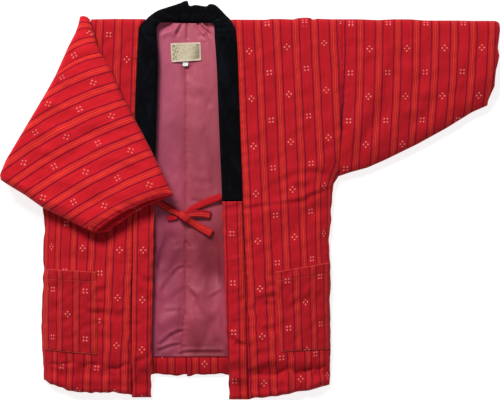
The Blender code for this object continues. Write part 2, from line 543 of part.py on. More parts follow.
def folded_row(from_cuff):
    """Points across the folded sleeve at distances from the cuff, one for each column.

    Returns their places, the top, the underside, and how open the cuff is there."""
    table = FOLDED.T
    outer_x, outer_y, inner_x, inner_y, bow, edge, top = (
        np.interp(from_cuff, table[0], column) for column in table[1:])
    run_x, run_y = inner_x - outer_x, inner_y - outer_y
    length = np.hypot(run_x, run_y)

    def place(away):
        share = away / length
        lift = bow * 4.0 * share * (1.0 - share) / length
        return outer_x + run_x * share + run_y * lift, outer_y + run_y * share - run_x * lift

    fine = np.linspace(0.0, length, 300)
    fine_x, fine_y = place(fine)
    on_body = read(RIGHT["side"], fine_y) + FOLD_CLEARANCE - fine_x > 0.0
    wall = max(12.0, fine[np.argmax(on_body)]) if on_body.any() else 0.6 * length
    right_rim = min(20.0, 0.6 * (length - wall))
    flat = length - right_rim
    near = wall + np.array([10.0, 26.0, 54.0]) * min(1.0, (flat - wall) / 120.0)
    away = np.array([0.0, 0.12 * wall, 0.35 * wall, 0.65 * wall, 0.92 * wall, wall, *near,
                     mix(near[2], flat, 0.33), mix(near[2], flat, 0.67), flat,
                     length - 0.5 * right_rim, length - 0.15 * right_rim, length])
    x, y = place(away)
    back = length - away
    inside = seam_distance(x, y)
    rest = mix(SIDE_SEAM[3], FRONT_TOP, rim(inside, RIM)) + mix(2.6, 0.4, rim(inside, 75.0))
    rest = rest + 1.4 * ease((120.0 - from_cuff) / 20.0) * (1.0 - rim(inside - 5.0, 75.0))
    rest = np.where(inside < 0.0, SIDE_SEAM[3] + 2.2, rest)
    floor = mix(SIDE_SEAM[3] + 2.2, 0.0, ease((from_cuff - 112.0) / 24.0))
    beyond = (away < wall - 0.01) & (read(RIGHT["side"], y) + FOLD_CLEARANCE < x)
    under = np.where(beyond, np.minimum(floor, rest), rest)
    if not on_body.any():
        under = np.where(away < wall, 8.0, 39.0)
    edge_width = min(0.6 * wall, 20.0)
    under = mix(edge - 2.0, under, rim(away, edge_width))
    round_width = min(mix(60.0, 45.0, ease((from_cuff - 180.0) / 20.0)), 0.55 * length)
    over = mix(edge + 2.0, top, rim(away, round_width))
    side_height = mix(FRONT_TOP, top, 0.5)
    over = mix(side_height + 2.0, over, rim(back, 22.0 * min(1.0, length / 60.0)))
    under = mix(np.maximum(side_height - 3.0, under), under, rim(back, 16.0))
    over = over + folds(FOLDED_FOLDS, x, y) * rim(away, 60.0) * rim(back, 40.0)
    over = over - 4.0 * (1.0 - rim(abs(from_cuff - ARMHOLE_ROW), 12.0)) * rim(away, 30.0)
    open_cuff = np.sqrt(unit(np.minimum(away, back) / 14.0)) * (away > 0.0) * (back > 0.0)
    return x, y, over, under, open_cuff


def folded_sleeve(name, rows, finish, with_cuff):
    """Part of the folded-over sleeve: one rounded solid, its two layers parted at the cuff."""
    top, base = [], []
    if with_cuff:
        cuff_x, cuff_y, over, under, open_cuff = folded_row(0.0)
        next_x, next_y, *_ = folded_row(16.0)
        out_x, out_y = (cuff_x - next_x) / 16.0, (cuff_y - next_y) / 16.0
        share = np.arange(len(cuff_x)) / (len(cuff_x) - 1.0)
        jut = CUFF_JUT * np.sin(np.pi * share) ** 0.6
        # for each row of the cuff: how far in on top and below, and both heights
        for top_in, base_in, top_share, base_share in (
                (mix(-1.5, CUFF_DEPTH, open_cuff), mix(-1.5, CUFF_DEPTH, open_cuff), 0.515, 0.485),
                (mix(-1.0, 0.8, open_cuff), mix(-1.0, 0.8 - jut, open_cuff), 0.62, 0.38),
                (0.0 * share, mix(0.0, -jut, open_cuff), 0.78, 0.22),
                (6.0 + 0.0 * share, mix(6.0, 6.0 - jut, open_cuff), 0.94, 0.06),
                (17.0 + 0.0 * share, mix(17.0, 17.0 - jut, open_cuff), 1.0, 0.0)):
            top.append(np.stack([cuff_x - out_x * top_in, cuff_y - out_y * top_in,
                                 mix(under, over, top_share)], 1))
            base.append(np.stack([cuff_x - out_x * base_in, cuff_y - out_y * base_in,
                                  mix(under, over, base_share)], 1))
    for from_cuff in rows:
        x, y, over, under, _ = folded_row(from_cuff)
        top.append(np.stack([x, y, over], 1))
        base.append(np.stack([x, y, under], 1))
    closed_sheet(name, np.array(top), np.array(base), finish, RIGHT["sign"])


def main():
    for piece in list(bpy.data.objects):
        bpy.data.objects.remove(piece)
    striped = material("striped_cotton", (0.62, 0.02, 0.025), 0.8)
    velvet = material("black_velvet", (0.006, 0.007, 0.012), 0.9)
    satin = material("rose_lining", (0.36, 0.075, 0.12), 0.45)
    paper = material("cream_label", (0.66, 0.6, 0.42), 0.8)
    white = material("white_tag", (0.85, 0.85, 0.85), 0.8)
    for name, half in (("left", LEFT), ("right", RIGHT)):
        front, lined = body("body_" + name, half, striped)
        lining("lining_" + name, half, lined, satin)
        pocket("pocket_" + name, half, front, striped)
        collar_end("collar_end_" + name, half, BAND_HEM[name], striped)
    sleeve_left(striped)
    folded_sleeve("sleeve_right", FOLDED_SLEEVE_ROWS, striped, True)
    folded_sleeve("body_right_fold", FOLDED_BODY_ROWS, striped, False)
    band("collar_velvet", VELVET, velvet)
    patch("label", LABEL, paper)
    patch("size_tag", SIZE_TAG, white)
    strap("tie_left", TIE_LEFT, striped)
    strap("tie_right", TIE_RIGHT, striped)
    strap("tie_right_end", TIE_RIGHT_END, striped)


main()
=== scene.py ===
import bpy
import numpy as np
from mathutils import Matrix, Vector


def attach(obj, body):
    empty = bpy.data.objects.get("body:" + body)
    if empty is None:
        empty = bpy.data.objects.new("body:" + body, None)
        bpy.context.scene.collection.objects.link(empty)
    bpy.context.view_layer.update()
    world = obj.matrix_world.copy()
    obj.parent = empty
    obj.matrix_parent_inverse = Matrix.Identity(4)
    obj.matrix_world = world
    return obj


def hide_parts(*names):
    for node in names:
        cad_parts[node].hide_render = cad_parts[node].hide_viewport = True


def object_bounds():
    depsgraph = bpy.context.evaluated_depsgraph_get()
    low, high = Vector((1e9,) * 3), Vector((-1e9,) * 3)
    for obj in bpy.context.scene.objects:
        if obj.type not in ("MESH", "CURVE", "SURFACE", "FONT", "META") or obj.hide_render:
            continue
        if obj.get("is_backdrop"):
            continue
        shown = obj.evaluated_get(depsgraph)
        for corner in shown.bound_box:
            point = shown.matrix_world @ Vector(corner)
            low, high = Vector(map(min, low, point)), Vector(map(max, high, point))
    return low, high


# A padded hanten laid flat on its back, its right sleeve folded over the front. Shapes are
# worked out in millimetres from the middle of the back neck: X to the wearer's left, Y up to
# the shoulder line, Z up from the floor. The right half is worked out with X pointing
# outwards and mirrored. Each mesh is then put in metres round the frame's origin.

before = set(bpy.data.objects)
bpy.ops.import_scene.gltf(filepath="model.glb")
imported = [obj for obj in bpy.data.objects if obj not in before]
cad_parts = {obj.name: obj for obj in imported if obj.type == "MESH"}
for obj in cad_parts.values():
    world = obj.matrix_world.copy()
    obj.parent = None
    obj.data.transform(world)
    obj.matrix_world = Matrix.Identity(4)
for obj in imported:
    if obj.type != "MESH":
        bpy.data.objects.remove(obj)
cad_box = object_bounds()


# The body. Each half is one length of striped cotton, front and back, folded at the
# shoulder and sewn to the other at the centre back. Wadding lies between cover and
# lining, so the cloth swells, and it is drawn in along every seam and turned-in hem.

MM_PER_M, CENTRE = 1000.0, (133.95, -382.15)    # CENTRE lies at the frame's origin
BACK_TOP, FRONT_BASE, FRONT_TOP = 18.0, 20.1, 42.0
SIDE_SEAM = (9.0, 12.85, 13.15, 17.0)       # back and front faces where the sides are sewn
RIM, HIDDEN_RIM, BACK_RIM = 65.0, 35.0, 25.0
SHOULDER, INNER_SHOULDER = 21.0, 1.05       # radii of the shoulder fold, outside and inside
SEAM_GAP, SEAM_DIP, DIP_WIDTH, HEM_TURN = 0.3, 4.0, 10.0, 13.0
FRONT_START, BACK_START, LINING_HEM, ARMHOLE_END = -790.0, -758.0, -718.0, -340.0
BACK_HEM = [(0, -758.5), (40, -757), (100, -756.5), (150, -760), (306, -768)]
BODY_GRID = dict(middle=27, front=74, front_rows=262, shoulder=11, back_rows=186)
UNDERARM = [(305.7, -830), (305.7, -771), (305, -718), (306.7, -554), (306, -505), (303, -470),
    (308, -400), (314, -349), (325, -333), (348, -325), (384.5, -315), (423, -298), (493, -264),
    (555, -230), (610, -196), (642, -182), (690, -161)]

# Each half: its hem as x, y, its seams as y, x, and its shoulder line as x, rise. Then the
# stripes' place: an x that maps to 0 at the shoulder, how fast the stripes lean out on front
# and back, where the square motifs' first row is, and how fast rows rise outwards.
LEFT = dict(
    sign=1.0,
    hem=[(92.7, -811), (135.3, -807.8), (156.6, -807), (177.9, -804.8), (199.2, -800.6),
        (220.5, -796.3), (241.8, -794.5), (263, -790.5), (284.4, -784.6), (305.7, -777.8)],
    collar_seam=[(-806, 134), (-386, 120), (-64, 108.8), (-21, 105), (0, 94.5)],
    collar_inner=[(-801, 90.5), (-383, 75.6), (-85, 64), (-40, 60)],
    side=[(-778, 306.5), (-718, 306.5), (-640, 307.5), (-600, 306), (-560, 308), (-525, 307.8),
        (-490, 304.8), (-468, 303.7), (-450, 305.6), (-428, 308.2), (-383, 310), (-349, 314),
        (-334, 324), (-300, 327), (-240, 329.3), (-160, 331), (-60, 331.5), (0, 331)],
    shoulder_rise=[(105, 2), (169, 1.6), (180, 3.4), (203, 3.4), (227, 2.3), (237, 5), (250, 6.2),
        (263, 6), (269.5, 1.6), (278, 4), (306, 2.8), (370, 2.8), (408, 1.1), (442, 2.8),
        (476, 2.8), (508, 0.1), (576, 0.1), (610, -0.6)],
    lining_edge=100.0, stripe_zero=142.8, front_lean=0.045,
    back_lean=-0.0166, square_row=11.5, row_rise=0.115, rise_from=170.8, seed=5)
RIGHT = dict(
    sign=-1.0,
    hem=[(77.7, -804.4), (99, -802.5), (120.3, -799.5), (141.6, -796.5), (184.2, -794.2),
        (226.8, -795), (248.1, -790.5), (269.4, -784.2), (290.7, -777), (306, -768.5)],
    collar_seam=[(-802, 118), (-596, 117), (-161, 108.6), (-72, 104), (-21, 101), (0, 88)],
    collar_inner=[(-801, 75.6), (-383, 69), (-288, 65), (-85, 60), (-5, 64)],
    side=[(-768, 306.7), (-723, 306.7), (-700, 310), (-621, 310.3), (-587, 308.2), (-530, 306),
        (-485, 307.3), (-451, 304), (-417, 305), (-400, 308), (-349, 314), (-334, 324), (-298, 325),
        (-264, 318), (-230, 299), (-196, 281), (-162, 265), (-128, 251), (-94, 237), (-60, 224),
        (-25, 209), (0, 203)],
    shoulder_rise=[(100, 3.2), (150, 3.6), (203, 2.6)],
    lining_edge=90.0, stripe_zero=135.9, front_lean=0.0377,
    back_lean=0.0118, square_row=31.5, row_rise=0.05, rise_from=165.0, seed=9)
HALVES = (("left", LEFT), ("right", RIGHT))

# Soft folds, as x, y to x, y, half width and height. The tucks are pressed-over wrinkles given
# the same way, with the height on the line's left.
FRONT_FOLDS = {
    1.0: [(268, -365, 160, -415, 16, 3), (290, -400, 190, -470, 15, -4),
        (300, -340, 230, -342, 10, 3.5), (150, -250, 165, -420, 22, 2.5),
        (280, -600, 150, -610, 20, -2.5), (230, -120, 245, -330, 26, 2.5),
        (183, -545, 186, -650, 8, -3.2), (160, -560, 150, -700, 14, 1.8)],
    -1.0: [(130, -520, 290, -505, 18, -3.5), (150, -660, 165, -560, 16, 2.5),
        (240, -750, 300, -600, 20, 2), (178, -458, 82, -430, 36, -11),
        (305, -400, 190, -450, 34, -6), (182, -580, 182, -650, 8, -2.6)]}
FRONT_TUCKS = {
    1.0: [(316, -334, 288, -320, 8, -2.2), (288, -320, 256, -319, 7, -2.3),
        (256, -319, 205, -336, 8, -1.9), (205, -336, 157, -366, 9, -1.4),
        (157, -366, 120, -377, 8, -1.2), (315, -356, 288, -360, 6, -3.3),
        (288, -364, 252, -375, 5.5, -2.6), (258, -380, 214, -386, 5.5, -2.4),
        (214, -386, 157, -394, 5.5, -2), (157, -394, 121, -399, 5, -1.8),
        (300, -345, 262, -350, 8, 1.6), (192, -581, 144, -592, 7, -2.3),
        (188, -603, 164, -600, 5, -1.9), (192, -652, 162, -655, 7, -2.2),
        (124, -690, 140, -689, 7, 2.3), (140, -689, 168, -679, 8, 2),
        (148, -704, 186, -700, 8, 1.5), (190, -560, 172, -562, 6, -1.5),
        (210, -470, 150, -482, 11, -0.9), (148, -744, 186, -722, 9, 1.5)],
    -1.0: [(216, -616, 178, -619, 7, -2.6), (178, -619, 135, -624, 8, -2.2),
        (196, -572, 172, -568, 6, -1.5), (200, -640, 172, -644, 6, -1.4),
        (196, -596, 174, -598, 5, -1.5), (250, -540, 190, -546, 11, -1.2),
        (190, -668, 160, -676, 8, -1.4), (140, -560, 118, -566, 9, -1.2)]}
# Where the hem's roll is drawn in, as x, y
HEM_CREASE = {
    1.0: [(112, -762), (150, -757), (195, -755), (215, -740), (235, -752), (260, -748), (285, -745),
        (305, -735)],
    -1.0: [(104, -720), (119, -730), (144, -742), (174, -745), (188, -730), (223, -740),
        (241, -727), (268, -737), (308, -730)]}
PUFFED_HEM = dict(roll=10.0, trough=2.3, trough_width=4.6, hollow=2.8, hollow_width=19.0)
LINING_SEAM = [(0, -0.5), (-100, -2), (-480, -3), (-620, -4), (-662, -11), (-718, -9)]
LINING_FOLDS = [(-38, -6, -66, -16, 9, -9), (-24, -18, -58, -34, 6, 2.6),
    (-10, -8, -20, -28, 3.6, -3.8), (-17, -9, -28, -30, 5, 2.8), (2, -10, 1, -36, 3.6, -2.4),
    (18, -8, 38, -26, 3.2, 3.4), (36, -30, 56, -44, 4, 2.8), (24, -8, 47, -28, 3.2, -6.4),
    (33, -8, 54, -25, 3.2, 4.2), (40, -7, 60, -23, 3.6, -7.4), (29, -31, 38, -35, 3.4, -2.8),
    (48, -34, 60, -45, 3.4, -3.6), (-76, -460, -72, -570, 26, 5), (12, -470, 44, -520, 20, 2.2),
    (-60, -526, 66, -534, 30, -5), (-50, -640, 50, -636, 26, 3), (0, -92, 2, -112, 10, -5),
    (0, -160, 19, -168, 9, -1.6), (26, -160, 47, -178, 9, -1.8), (47, -178, 60, -160, 9, -1.2),
    (18, -140, 50, -146, 10, 1.6), (16, -114, 34, -128, 10, 1.4), (-46, -230, -20, -300, 18, 1.4),
    (24, -230, 40, -300, 18, 1.6), (-55, -120, -52, -330, 16, -2), (56, -200, 60, -360, 14, -2),
    (-20, -120, -30, -210, 18, 1.2), (-36, -465, -63, -513, 14, -4.2),
    (-63, -513, -72, -550, 14, -3.6), (-20, -484, -44, -530, 13, 2.2), (55, -485, 62, -540, 25, -6),
    (14, -476, 24, -500, 9, 0.7), (7, -530, 10, -566, 7, -2.4), (30, -580, 56, -622, 12, 2),
    (-22, -628, -52, -648, 13, 3), (51, -646, 33, -699, 10, -2.6), (66, -688, 84, -698, 9, -2.8),
    (12, -640, 20, -686, 9, 1.6), (62, -620, 70, -660, 13, 2)]
# Pressed-over wrinkles, as x, y to x, y, half width and height on the left of the line
LINING_TUCKS = [(-6, -524, -19, -528, 3.6, -1.2), (-19, -528, -33, -543, 4, -1.2),
    (-33, -543, -57, -577, 5, -0.9), (-6, -570, -30, -585, 5.7, -0.8),
    (-30, -585, -50, -602, 6.6, -0.8), (-4, -623, -12, -615, 4, -0.9),
    (-12, -615, -46, -619, 4.4, -0.9), (-9, -663, -15, -661, 3.4, -1.6),
    (-15, -661, -38, -672, 4, -2), (-38, -672, -58, -691, 4.6, -1.8),
    (-14, -690, -34, -693, 3.4, -1.6), (-34, -693, -64, -704, 3.8, -1.8),
    (-17, -712, -2, -706, 3.5, 1.5), (-2, -706, 42, -706, 3.5, 1.8), (42, -706, 88, -706, 3.5, 1.5),
    (47, -591, 80, -573, 4, 0.9), (0, -469, 11, -482, 4, 2.2), (1, -566, 21, -590, 4.8, 1.5),
    (13, -579, 36, -630, 6.6, 1.4), (10, -379, 40, -384, 4.8, 1), (15, -337, 52, -343, 7.5, 0.8),
    (-18, -386, -40, -390, 4.8, -0.9)]


def unit(values):
    """Values held between 0 and 1."""
    return np.clip(values, 0.0, 1.0)


def ease(values):
    """A soft step from 0 to 1: three times the square less twice the cube."""
    share = unit(values)
    return share * share * (3.0 - 2.0 * share)


def rim(distance, width):
    """A quarter of an ellipse: 0 at the edge, 1 from the width inwards."""
    return np.sqrt(1.0 - (1.0 - unit(distance / width)) ** 2)


def mix(low, high, share):
    """From low to high by a share."""
    return low + (high - low) * share


def read(table, at):
    """The second column of a table, read at values of its first."""
    rows = np.array(sorted(table), dtype=float)
    return np.interp(at, rows[:, 0], rows[:, 1])


def gathered(count):
    """Shares from 0 to 1 that lie closer together near both ends: a line mixed with a soft step."""
    line = np.linspace(0.0, 1.0, count)
    return mix(line, ease(line), 0.6)


def bell(away, width):
    """A bell curve: e to the power of less the square of distance over width."""
    return np.exp(-(away / width) ** 2)


def waves(x, y, seed, length, count=16):
    """Soft unevenness about 1 high: a sum of sines of random direction, length and phase."""
    draw = np.random.default_rng(seed)
    turn, phase = draw.uniform(0.0, 2.0 * np.pi, (2, count))
    scale = 2.0 * np.pi / (length * draw.uniform(0.7, 1.7, count))
    along = np.multiply.outer(x, np.cos(turn)) + np.multiply.outer(y, np.sin(turn))
    return np.sin(along * scale + phase).sum(-1) * np.sqrt(2.0 / count)


def segment_distance(line, x, y):
    """How far points lie from a straight piece of line."""
    x0, y0, x1, y1 = line
    run = unit(((x - x0) * (x1 - x0) + (y - y0) * (y1 - y0)) / ((x1 - x0) ** 2 + (y1 - y0) ** 2))
    return np.hypot(x - mix(x0, x1, run), y - mix(y0, y1, run))


def folds(table, x, y):
    """Ridges and troughs along short lines: a bell curve across each, fading past its ends."""
    height = np.zeros(np.shape(x))
    for *line, width, rise in table:
        height += rise * bell(segment_distance(line, x, y), width)
    return height


def tucks(table, x, y):
    """Pressed-over wrinkles along short lines: high on the line's left, low on its right.

    Across the line the height is the offset times a bell curve of it, fading past the ends."""
    height = np.zeros(np.shape(x))
    for x0, y0, x1, y1, width, rise in table:
        run_x, run_y = x1 - x0, y1 - y0
        along = ((x - x0) * run_x + (y - y0) * run_y) / (run_x ** 2 + run_y ** 2)
        side = ((y - y0) * run_x - (x - x0) * run_y) / np.hypot(run_x, run_y) / width
        ends = ease((along + 0.15) / 0.3) * ease((1.15 - along) / 0.3)
        height += rise * side * np.exp(0.5 - 0.5 * side ** 2) * ends
    return height


def seam_distance(x, y):
    """How far a point lies inside the side and underarm seam, negative outside it."""
    points = np.array(UNDERARM)
    nearest = np.full(np.shape(x), 1e6)
    signed = np.zeros(np.shape(x))
    for (x0, y0), (x1, y1) in zip(points[:-1], points[1:]):
        away = segment_distance((x0, y0, x1, y1), x, y)
        side = (x1 - x0) * (y - y0) - (y1 - y0) * (x - x0)
        signed = np.where(away < nearest, away * np.sign(side), signed)
        nearest = np.minimum(away, nearest)
    return signed


def side_edge(half, y):
    """x of the side seam, or of the armhole above it, slightly uneven below the sleeve."""
    uneven = 0.5 * waves(0.0, y, half["seed"], 28.0, 7)
    return read(half["side"], y) + uneven * ease((-352.0 - y) / 30.0)


def armhole_dip(away, y):
    """How far the left armhole's seam draws the cloth in: little at the shoulder, more below.

    Away from the seam it fades by a quarter ellipse."""
    low = ease((-110.0 - y) / 180.0)
    return (1.0 + 5.0 * low) * (1.0 - rim(away, 9.0 + 17.0 * low))


def inside_seam(half, x, y):
    """Distance inside the seam, following each half's own outline below the sleeve."""
    straight = np.interp(y, *np.array(UNDERARM[:8]).T[::-1])
    return seam_distance(x - (side_edge(half, y) - straight) * ease((-345.0 - y) / 20.0), y)


def shoulder_lift(half, x, y):
    """How far the cloth stands beyond the plain shoulder line, fading out over 100 mm."""
    return read(half["shoulder_rise"], x) * ease((y + 110.0) / 100.0)


def square_cosine(turn):
    """The height of a pressed fold: a cosine raised to a low power, keeping its sign."""
    return np.sign(np.cos(turn)) * np.abs(np.cos(turn)) ** 0.7


def pressed(y):
    """How much of its height the back keeps where the fronts come down at the hem."""
    return 1.0 - 0.7 * ease((-724.0 - y) / 36.0)


def hidden_back(away, y):
    """Top of the back under the fronts."""
    return mix(SIDE_SEAM[1], BACK_TOP, rim(away, HIDDEN_RIM)) * pressed(y)


def front_base(away, x, y):
    """Underside of the front; past the back's hem it comes down to the floor."""
    space = mix(SEAM_GAP, FRONT_BASE - BACK_TOP, rim(away, HIDDEN_RIM))
    return (hidden_back(away, y) + space) * (1.0 - ease((read(BACK_HEM, x) - 1.0 - y) / 25.0))


def plain_front(away, x, y):
    """Top of the front before its folds: full, and thinner towards the side seam.

    Towards the seam it falls by a quarter ellipse mixed with a parabola."""
    thin = SIDE_SEAM[3] - SIDE_SEAM[2]
    swell = 0.45 * rim(away, RIM) + 0.55 * (1.0 - (1.0 - unit(away / 100.0)) ** 2)
    return front_base(away, x, y) + mix(thin, FRONT_TOP - FRONT_BASE, swell)


def hem_relief(half, x, y):
    """The roll below the hem's crease, less a narrow trough and a broad hollow along it."""
    puff, seed = PUFFED_HEM, half["seed"]
    crease = read(HEM_CREASE[half["sign"]], x)
    from_crease = y - crease - 1.5 * waves(x, y, seed + 4, 20.0, 8)
    low_roll = unit(-from_crease / (0.85 * (crease - read(half["hem"], x)))) ** 0.9
    rise = low_roll * (puff["roll"] + 2.2 * waves(x, 0.15 * y, seed + 5, 24.0, 8))
    rise -= puff["hollow"] * bell(from_crease, puff["hollow_width"])
    trough = puff["trough"] * bell(from_crease, puff["trough_width"])
    return rise - trough * (1.0 + 0.5 * waves(x, 0.0, seed + 6, 26.0, 8))


def front_height(half, x, y):
    """Top of the front with its hem roll, folds, creases and the dips along its seams.

    The right front is pressed down near its side, where the folded sleeve lies on it."""
    away = inside_seam(half, x, y)
    at_collar = x - read(half["collar_seam"], y)
    is_left = half["sign"] > 0.0
    soft = folds(FRONT_FOLDS[half["sign"]], x, y) + tucks(FRONT_TUCKS[half["sign"]], x, y)
    soft += 0.7 * waves(x, y, half["seed"] + 1, 42.0)
    soft += 0.3 * waves(x, 0.7 * y, half["seed"] + 2, 19.0)
    pucker = waves(0.25 * x, y, half["seed"] + 3, 15.0, 9)
    soft += 0.7 * pucker * np.exp(-at_collar / 11.0) + 0.8 * pucker * np.exp(-unit(away / 60.0) * 5.0)
    rise = hem_relief(half, x, y) + soft * ease((-23.0 - y) / 30.0)
    dip = SEAM_DIP * (1.0 - rim(at_collar, DIP_WIDTH))
    dip = dip + armhole_dip(read(half["side"], y) - x, y) * is_left * (y > ARMHOLE_END)
    pressed_in = 7.0 * ease((x - 262.0) / 20.0) * ease((y + 392.0) / 14.0) * ease((-235.0 - y) / 35.0)
    pressed_in += 4.0 * ease((x - 222.0) / 20.0) * ease((y + 396.0) / 14.0)
    plain = plain_front(away, x, y) - pressed_in * (not is_left)
    height = np.maximum(plain, front_base(away, x, y) + 3.8)
    return height + rise * rim(away, RIM) - dip


def under_ties(y):
    """1 where the ties lie over the lining, falling to 0 by soft steps above and below."""
    return ease((y + 490.0) / 12.0) * ease((-355.0 - y) / 12.0)


def lining_relief(x, y):
    """The lining's folds, gathers and seam; x here runs across both halves.

    The seam is a narrow bell-shaped valley in a broader one. What stands up is taken away
    under the ties, and everything under the label."""
    at_seam = x - read(LINING_SEAM, y)
    soft = folds(LINING_FOLDS, x, y) + tucks(LINING_TUCKS, x, y)
    soft += 0.5 * waves(x, 0.6 * y, 31, 48.0) + 0.14 * waves(x, 0.8 * y, 32, 16.0)
    valley = (0.6 + 0.3 * waves(0.0, y, 34, 34.0, 7)) * bell(at_seam - 1.0, 2.6)
    soft -= (valley + 2.2 * bell(at_seam - 1.0, 9.0)) * ease((-60.0 - y) / 40.0)
    under_label = ease((44.0 - np.abs(x)) / 4.0) * ease((y + 98.0) / 4.0) * ease((-43.0 - y) / 3.0)
    soft = np.minimum(soft, 0.0) + np.maximum(soft, 0.0) * (1.0 - under_ties(y))
    return soft * (1.0 - under_label)


def back_height(half, x, y, under_lining=False):
    """Top of the back: full between the fronts, pressed under them, its hem turned in.

    Under the lining its folds are weaker and lie lower, clear of the satin."""
    away = inside_seam(half, x, y)
    seen = ease((read(half["collar_inner"], y) - 2.0 - x) / 16.0)
    wrinkled = ease((read(half["collar_inner"], y) - 1.0 - x) / 10.0)
    soft = lining_relief(x * half["sign"], y)
    if under_lining:
        soft = 0.6 * soft - 4.2
    soft = soft * wrinkled * ease((y - LINING_HEM - 1.0) / 6.0)
    hem_roll = 2.0 * bell(y + 738.0, 12.0) * (y < LINING_HEM - 1.0)
    hem_roll = hem_roll + 0.8 * waves(x, 0.5 * y, 33, 18.0, 8) * ease((LINING_HEM - 4.0 - y) / 8.0)
    hem_roll = hem_roll - 6.0 * ease((LINING_HEM - 2.0 - y) / 38.0)
    return mix(hidden_back(away, y), BACK_TOP + soft + hem_roll, seen)


def round_edge(outer, inner, distance, width, least=0.25):
    """Both faces drawn together by a quarter ellipse where the cloth is turned in."""
    middle = (outer + inner) / 2.0
    share = (least + (1.0 - least) * rim(distance, width))[..., None]
    return middle + (outer - middle) * share, middle + (inner - middle) * share


def stack(*parts):
    """Arrays and numbers of shapes that fit together, side by side in a new last axis."""
    return np.stack(np.broadcast_arrays(*parts), -1)


def new_piece(node, points, quads, corners, finish, slot):
    """A mesh in metres round the frame's origin, standing in for a CAD node.

    Points are in mm. Corners are U and V in mm for each corner of each quad."""
    mesh = bpy.data.meshes.new(node + "_cloth")
    mesh.from_pydata(((points - (*CENTRE, 0.0)) / MM_PER_M).tolist(), [], quads.tolist())
    mesh.uv_layers.new(name="cloth").data.foreach_set("uv", corners.ravel() / MM_PER_M)
    mesh.shade_smooth()
    mesh.materials.append(finish)
    piece = bpy.data.objects.new(mesh.name, mesh)
    bpy.context.scene.collection.objects.link(piece)
    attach(piece, "root")
    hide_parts(node)
    return piece


def cloth_sheet(node, outer, inner, cloth, finish, slot="striped_cotton", sign=1.0, cells=None):
    """Two grids of points joined by a wall along every open edge; cloth is U and V in mm.

    The faces point outwards: they are turned round where the closed shape's volume, the sum
    of its corners' triple products, comes out below 0."""
    rows, columns = outer.shape[:2]
    cells = np.ones((rows - 1, columns - 1), bool) if cells is None else cells
    count = rows * columns
    points = np.concatenate([outer.reshape(-1, 3), inner.reshape(-1, 3)]) * (sign, 1.0, 1.0)
    index = np.arange(count).reshape(rows, columns)
    a, b = index[:-1, :-1][cells], index[:-1, 1:][cells]
    d, c = index[1:, :-1][cells], index[1:, 1:][cells]
    sides = np.concatenate([np.stack(pair, 1) for pair in ((a, b), (b, c), (c, d), (d, a))])
    border = sides[~np.isin(sides[:, 0] * count + sides[:, 1], sides[:, 1] * count + sides[:, 0])]
    p, q = border.T
    quads = np.concatenate([np.stack(corners, 1) for corners in (
        (a, b, c, d), (a + count, d + count, c + count, b + count), (q, p, p + count, q + count))])
    corner = points[quads]
    volume = sum(np.einsum("ij,ij->", corner[:, 0], np.cross(corner[:, i], corner[:, i + 1]))
                 for i in (1, 2))
    quads = quads if volume > 0.0 else quads[:, ::-1]
    used, packed = np.unique(quads, return_inverse=True)
    cloth = np.broadcast_to(cloth, (rows, columns, 2)).reshape(-1, 2)
    return new_piece(node, points[used], packed.reshape(quads.shape), cloth[quads % count],
                     finish, slot)


class Shade:
    """A shader socket that takes part in sums; any other node comes from its node method."""

    def __init__(self, tree, socket=None):
        self.tree, self.socket = tree, socket

    def node(self, kind, settings=None, inputs=None, output=0):
        """Adds a node: first its settings, then the values or links of its sockets."""
        made = self.tree.nodes.new(kind)
        for name, value in (settings or {}).items():
            setattr(made, name, value)
        for name, value in (inputs or {}).items():
            if isinstance(value, Shade):
                self.tree.links.new(value.socket, made.inputs[name])
            else:
                made.inputs[name].default_value = value
        return Shade(self.tree, made.outputs[output])

    def math(self, operation, *values):
        """The result of a Math node for one to three values."""
        return self.node("ShaderNodeMath", {"operation": operation}, dict(enumerate(values)))

    def __add__(self, other):
        return self.math("ADD", self, other)

    def __sub__(self, other):
        return self.math("SUBTRACT", self, other)

    def __rsub__(self, other):
        return self.math("SUBTRACT", other, self)

    def __mul__(self, other):
        return self.math("MULTIPLY", self, other)

    def __truediv__(self, other):
        return self.math("DIVIDE", self, other)

    def __abs__(self):
        return self.math("ABSOLUTE", self)

    __radd__, __rmul__ = __add__, __mul__

    def wrap(self, half):
        """The value folded into the range from -half to half."""
        return self.math("WRAP", self, half, -half)

    def held(self):
        """The value held between 0 and 1."""
        return self.node("ShaderNodeClamp", inputs={0: self})

    def within(self, edge, soft):
        """1 where the value is below the edge, 0 above it, with a soft border."""
        return ((edge - self) / soft + 0.5).held()

    def least(self, other):
        """The smaller of two values."""
        return self.math("MINIMUM", self, other)

    def most(self, other):
        """The larger of two values."""
        return self.math("MAXIMUM", self, other)

    def hypot(self, other):
        """The root of the sum of two squares."""
        return self.math("SQRT", self * self + other * other)

    def wave(self, length, kind="SINE"):
        """A sine or cosine of the value, from crest to crest in that length."""
        return self.math(kind, self * (2.0 * np.pi / length))

    def noise(self, u, v, detail, **more):
        """Cloudy noise, mostly between 0.3 and 0.7, over two values."""
        place = self.node("ShaderNodeCombineXYZ", inputs={0: u, 1: v})
        return self.node("ShaderNodeTexNoise", {"noise_dimensions": "2D"},
                         {"Vector": place, "Scale": 1.0, "Detail": detail, **more})

    def tint(self, low, high):
        """A colour mixed from low to high by this value."""
        return self.node("ShaderNodeMix", {"data_type": "RGBA"},
                         {0: self, 6: low, 7: high}, output=2)

    def feed(self, surface, name):
        """Links the value to a socket of the surface shader."""
        self.tree.links.new(self.socket, surface.inputs[name])

    def emboss(self, surface, strength, distance):
        """Raises the surface's relief by the value, through a Bump node."""
        self.node("ShaderNodeBump", inputs={"Strength": strength, "Distance": distance,
                                            "Height": self}).feed(surface, "Normal")


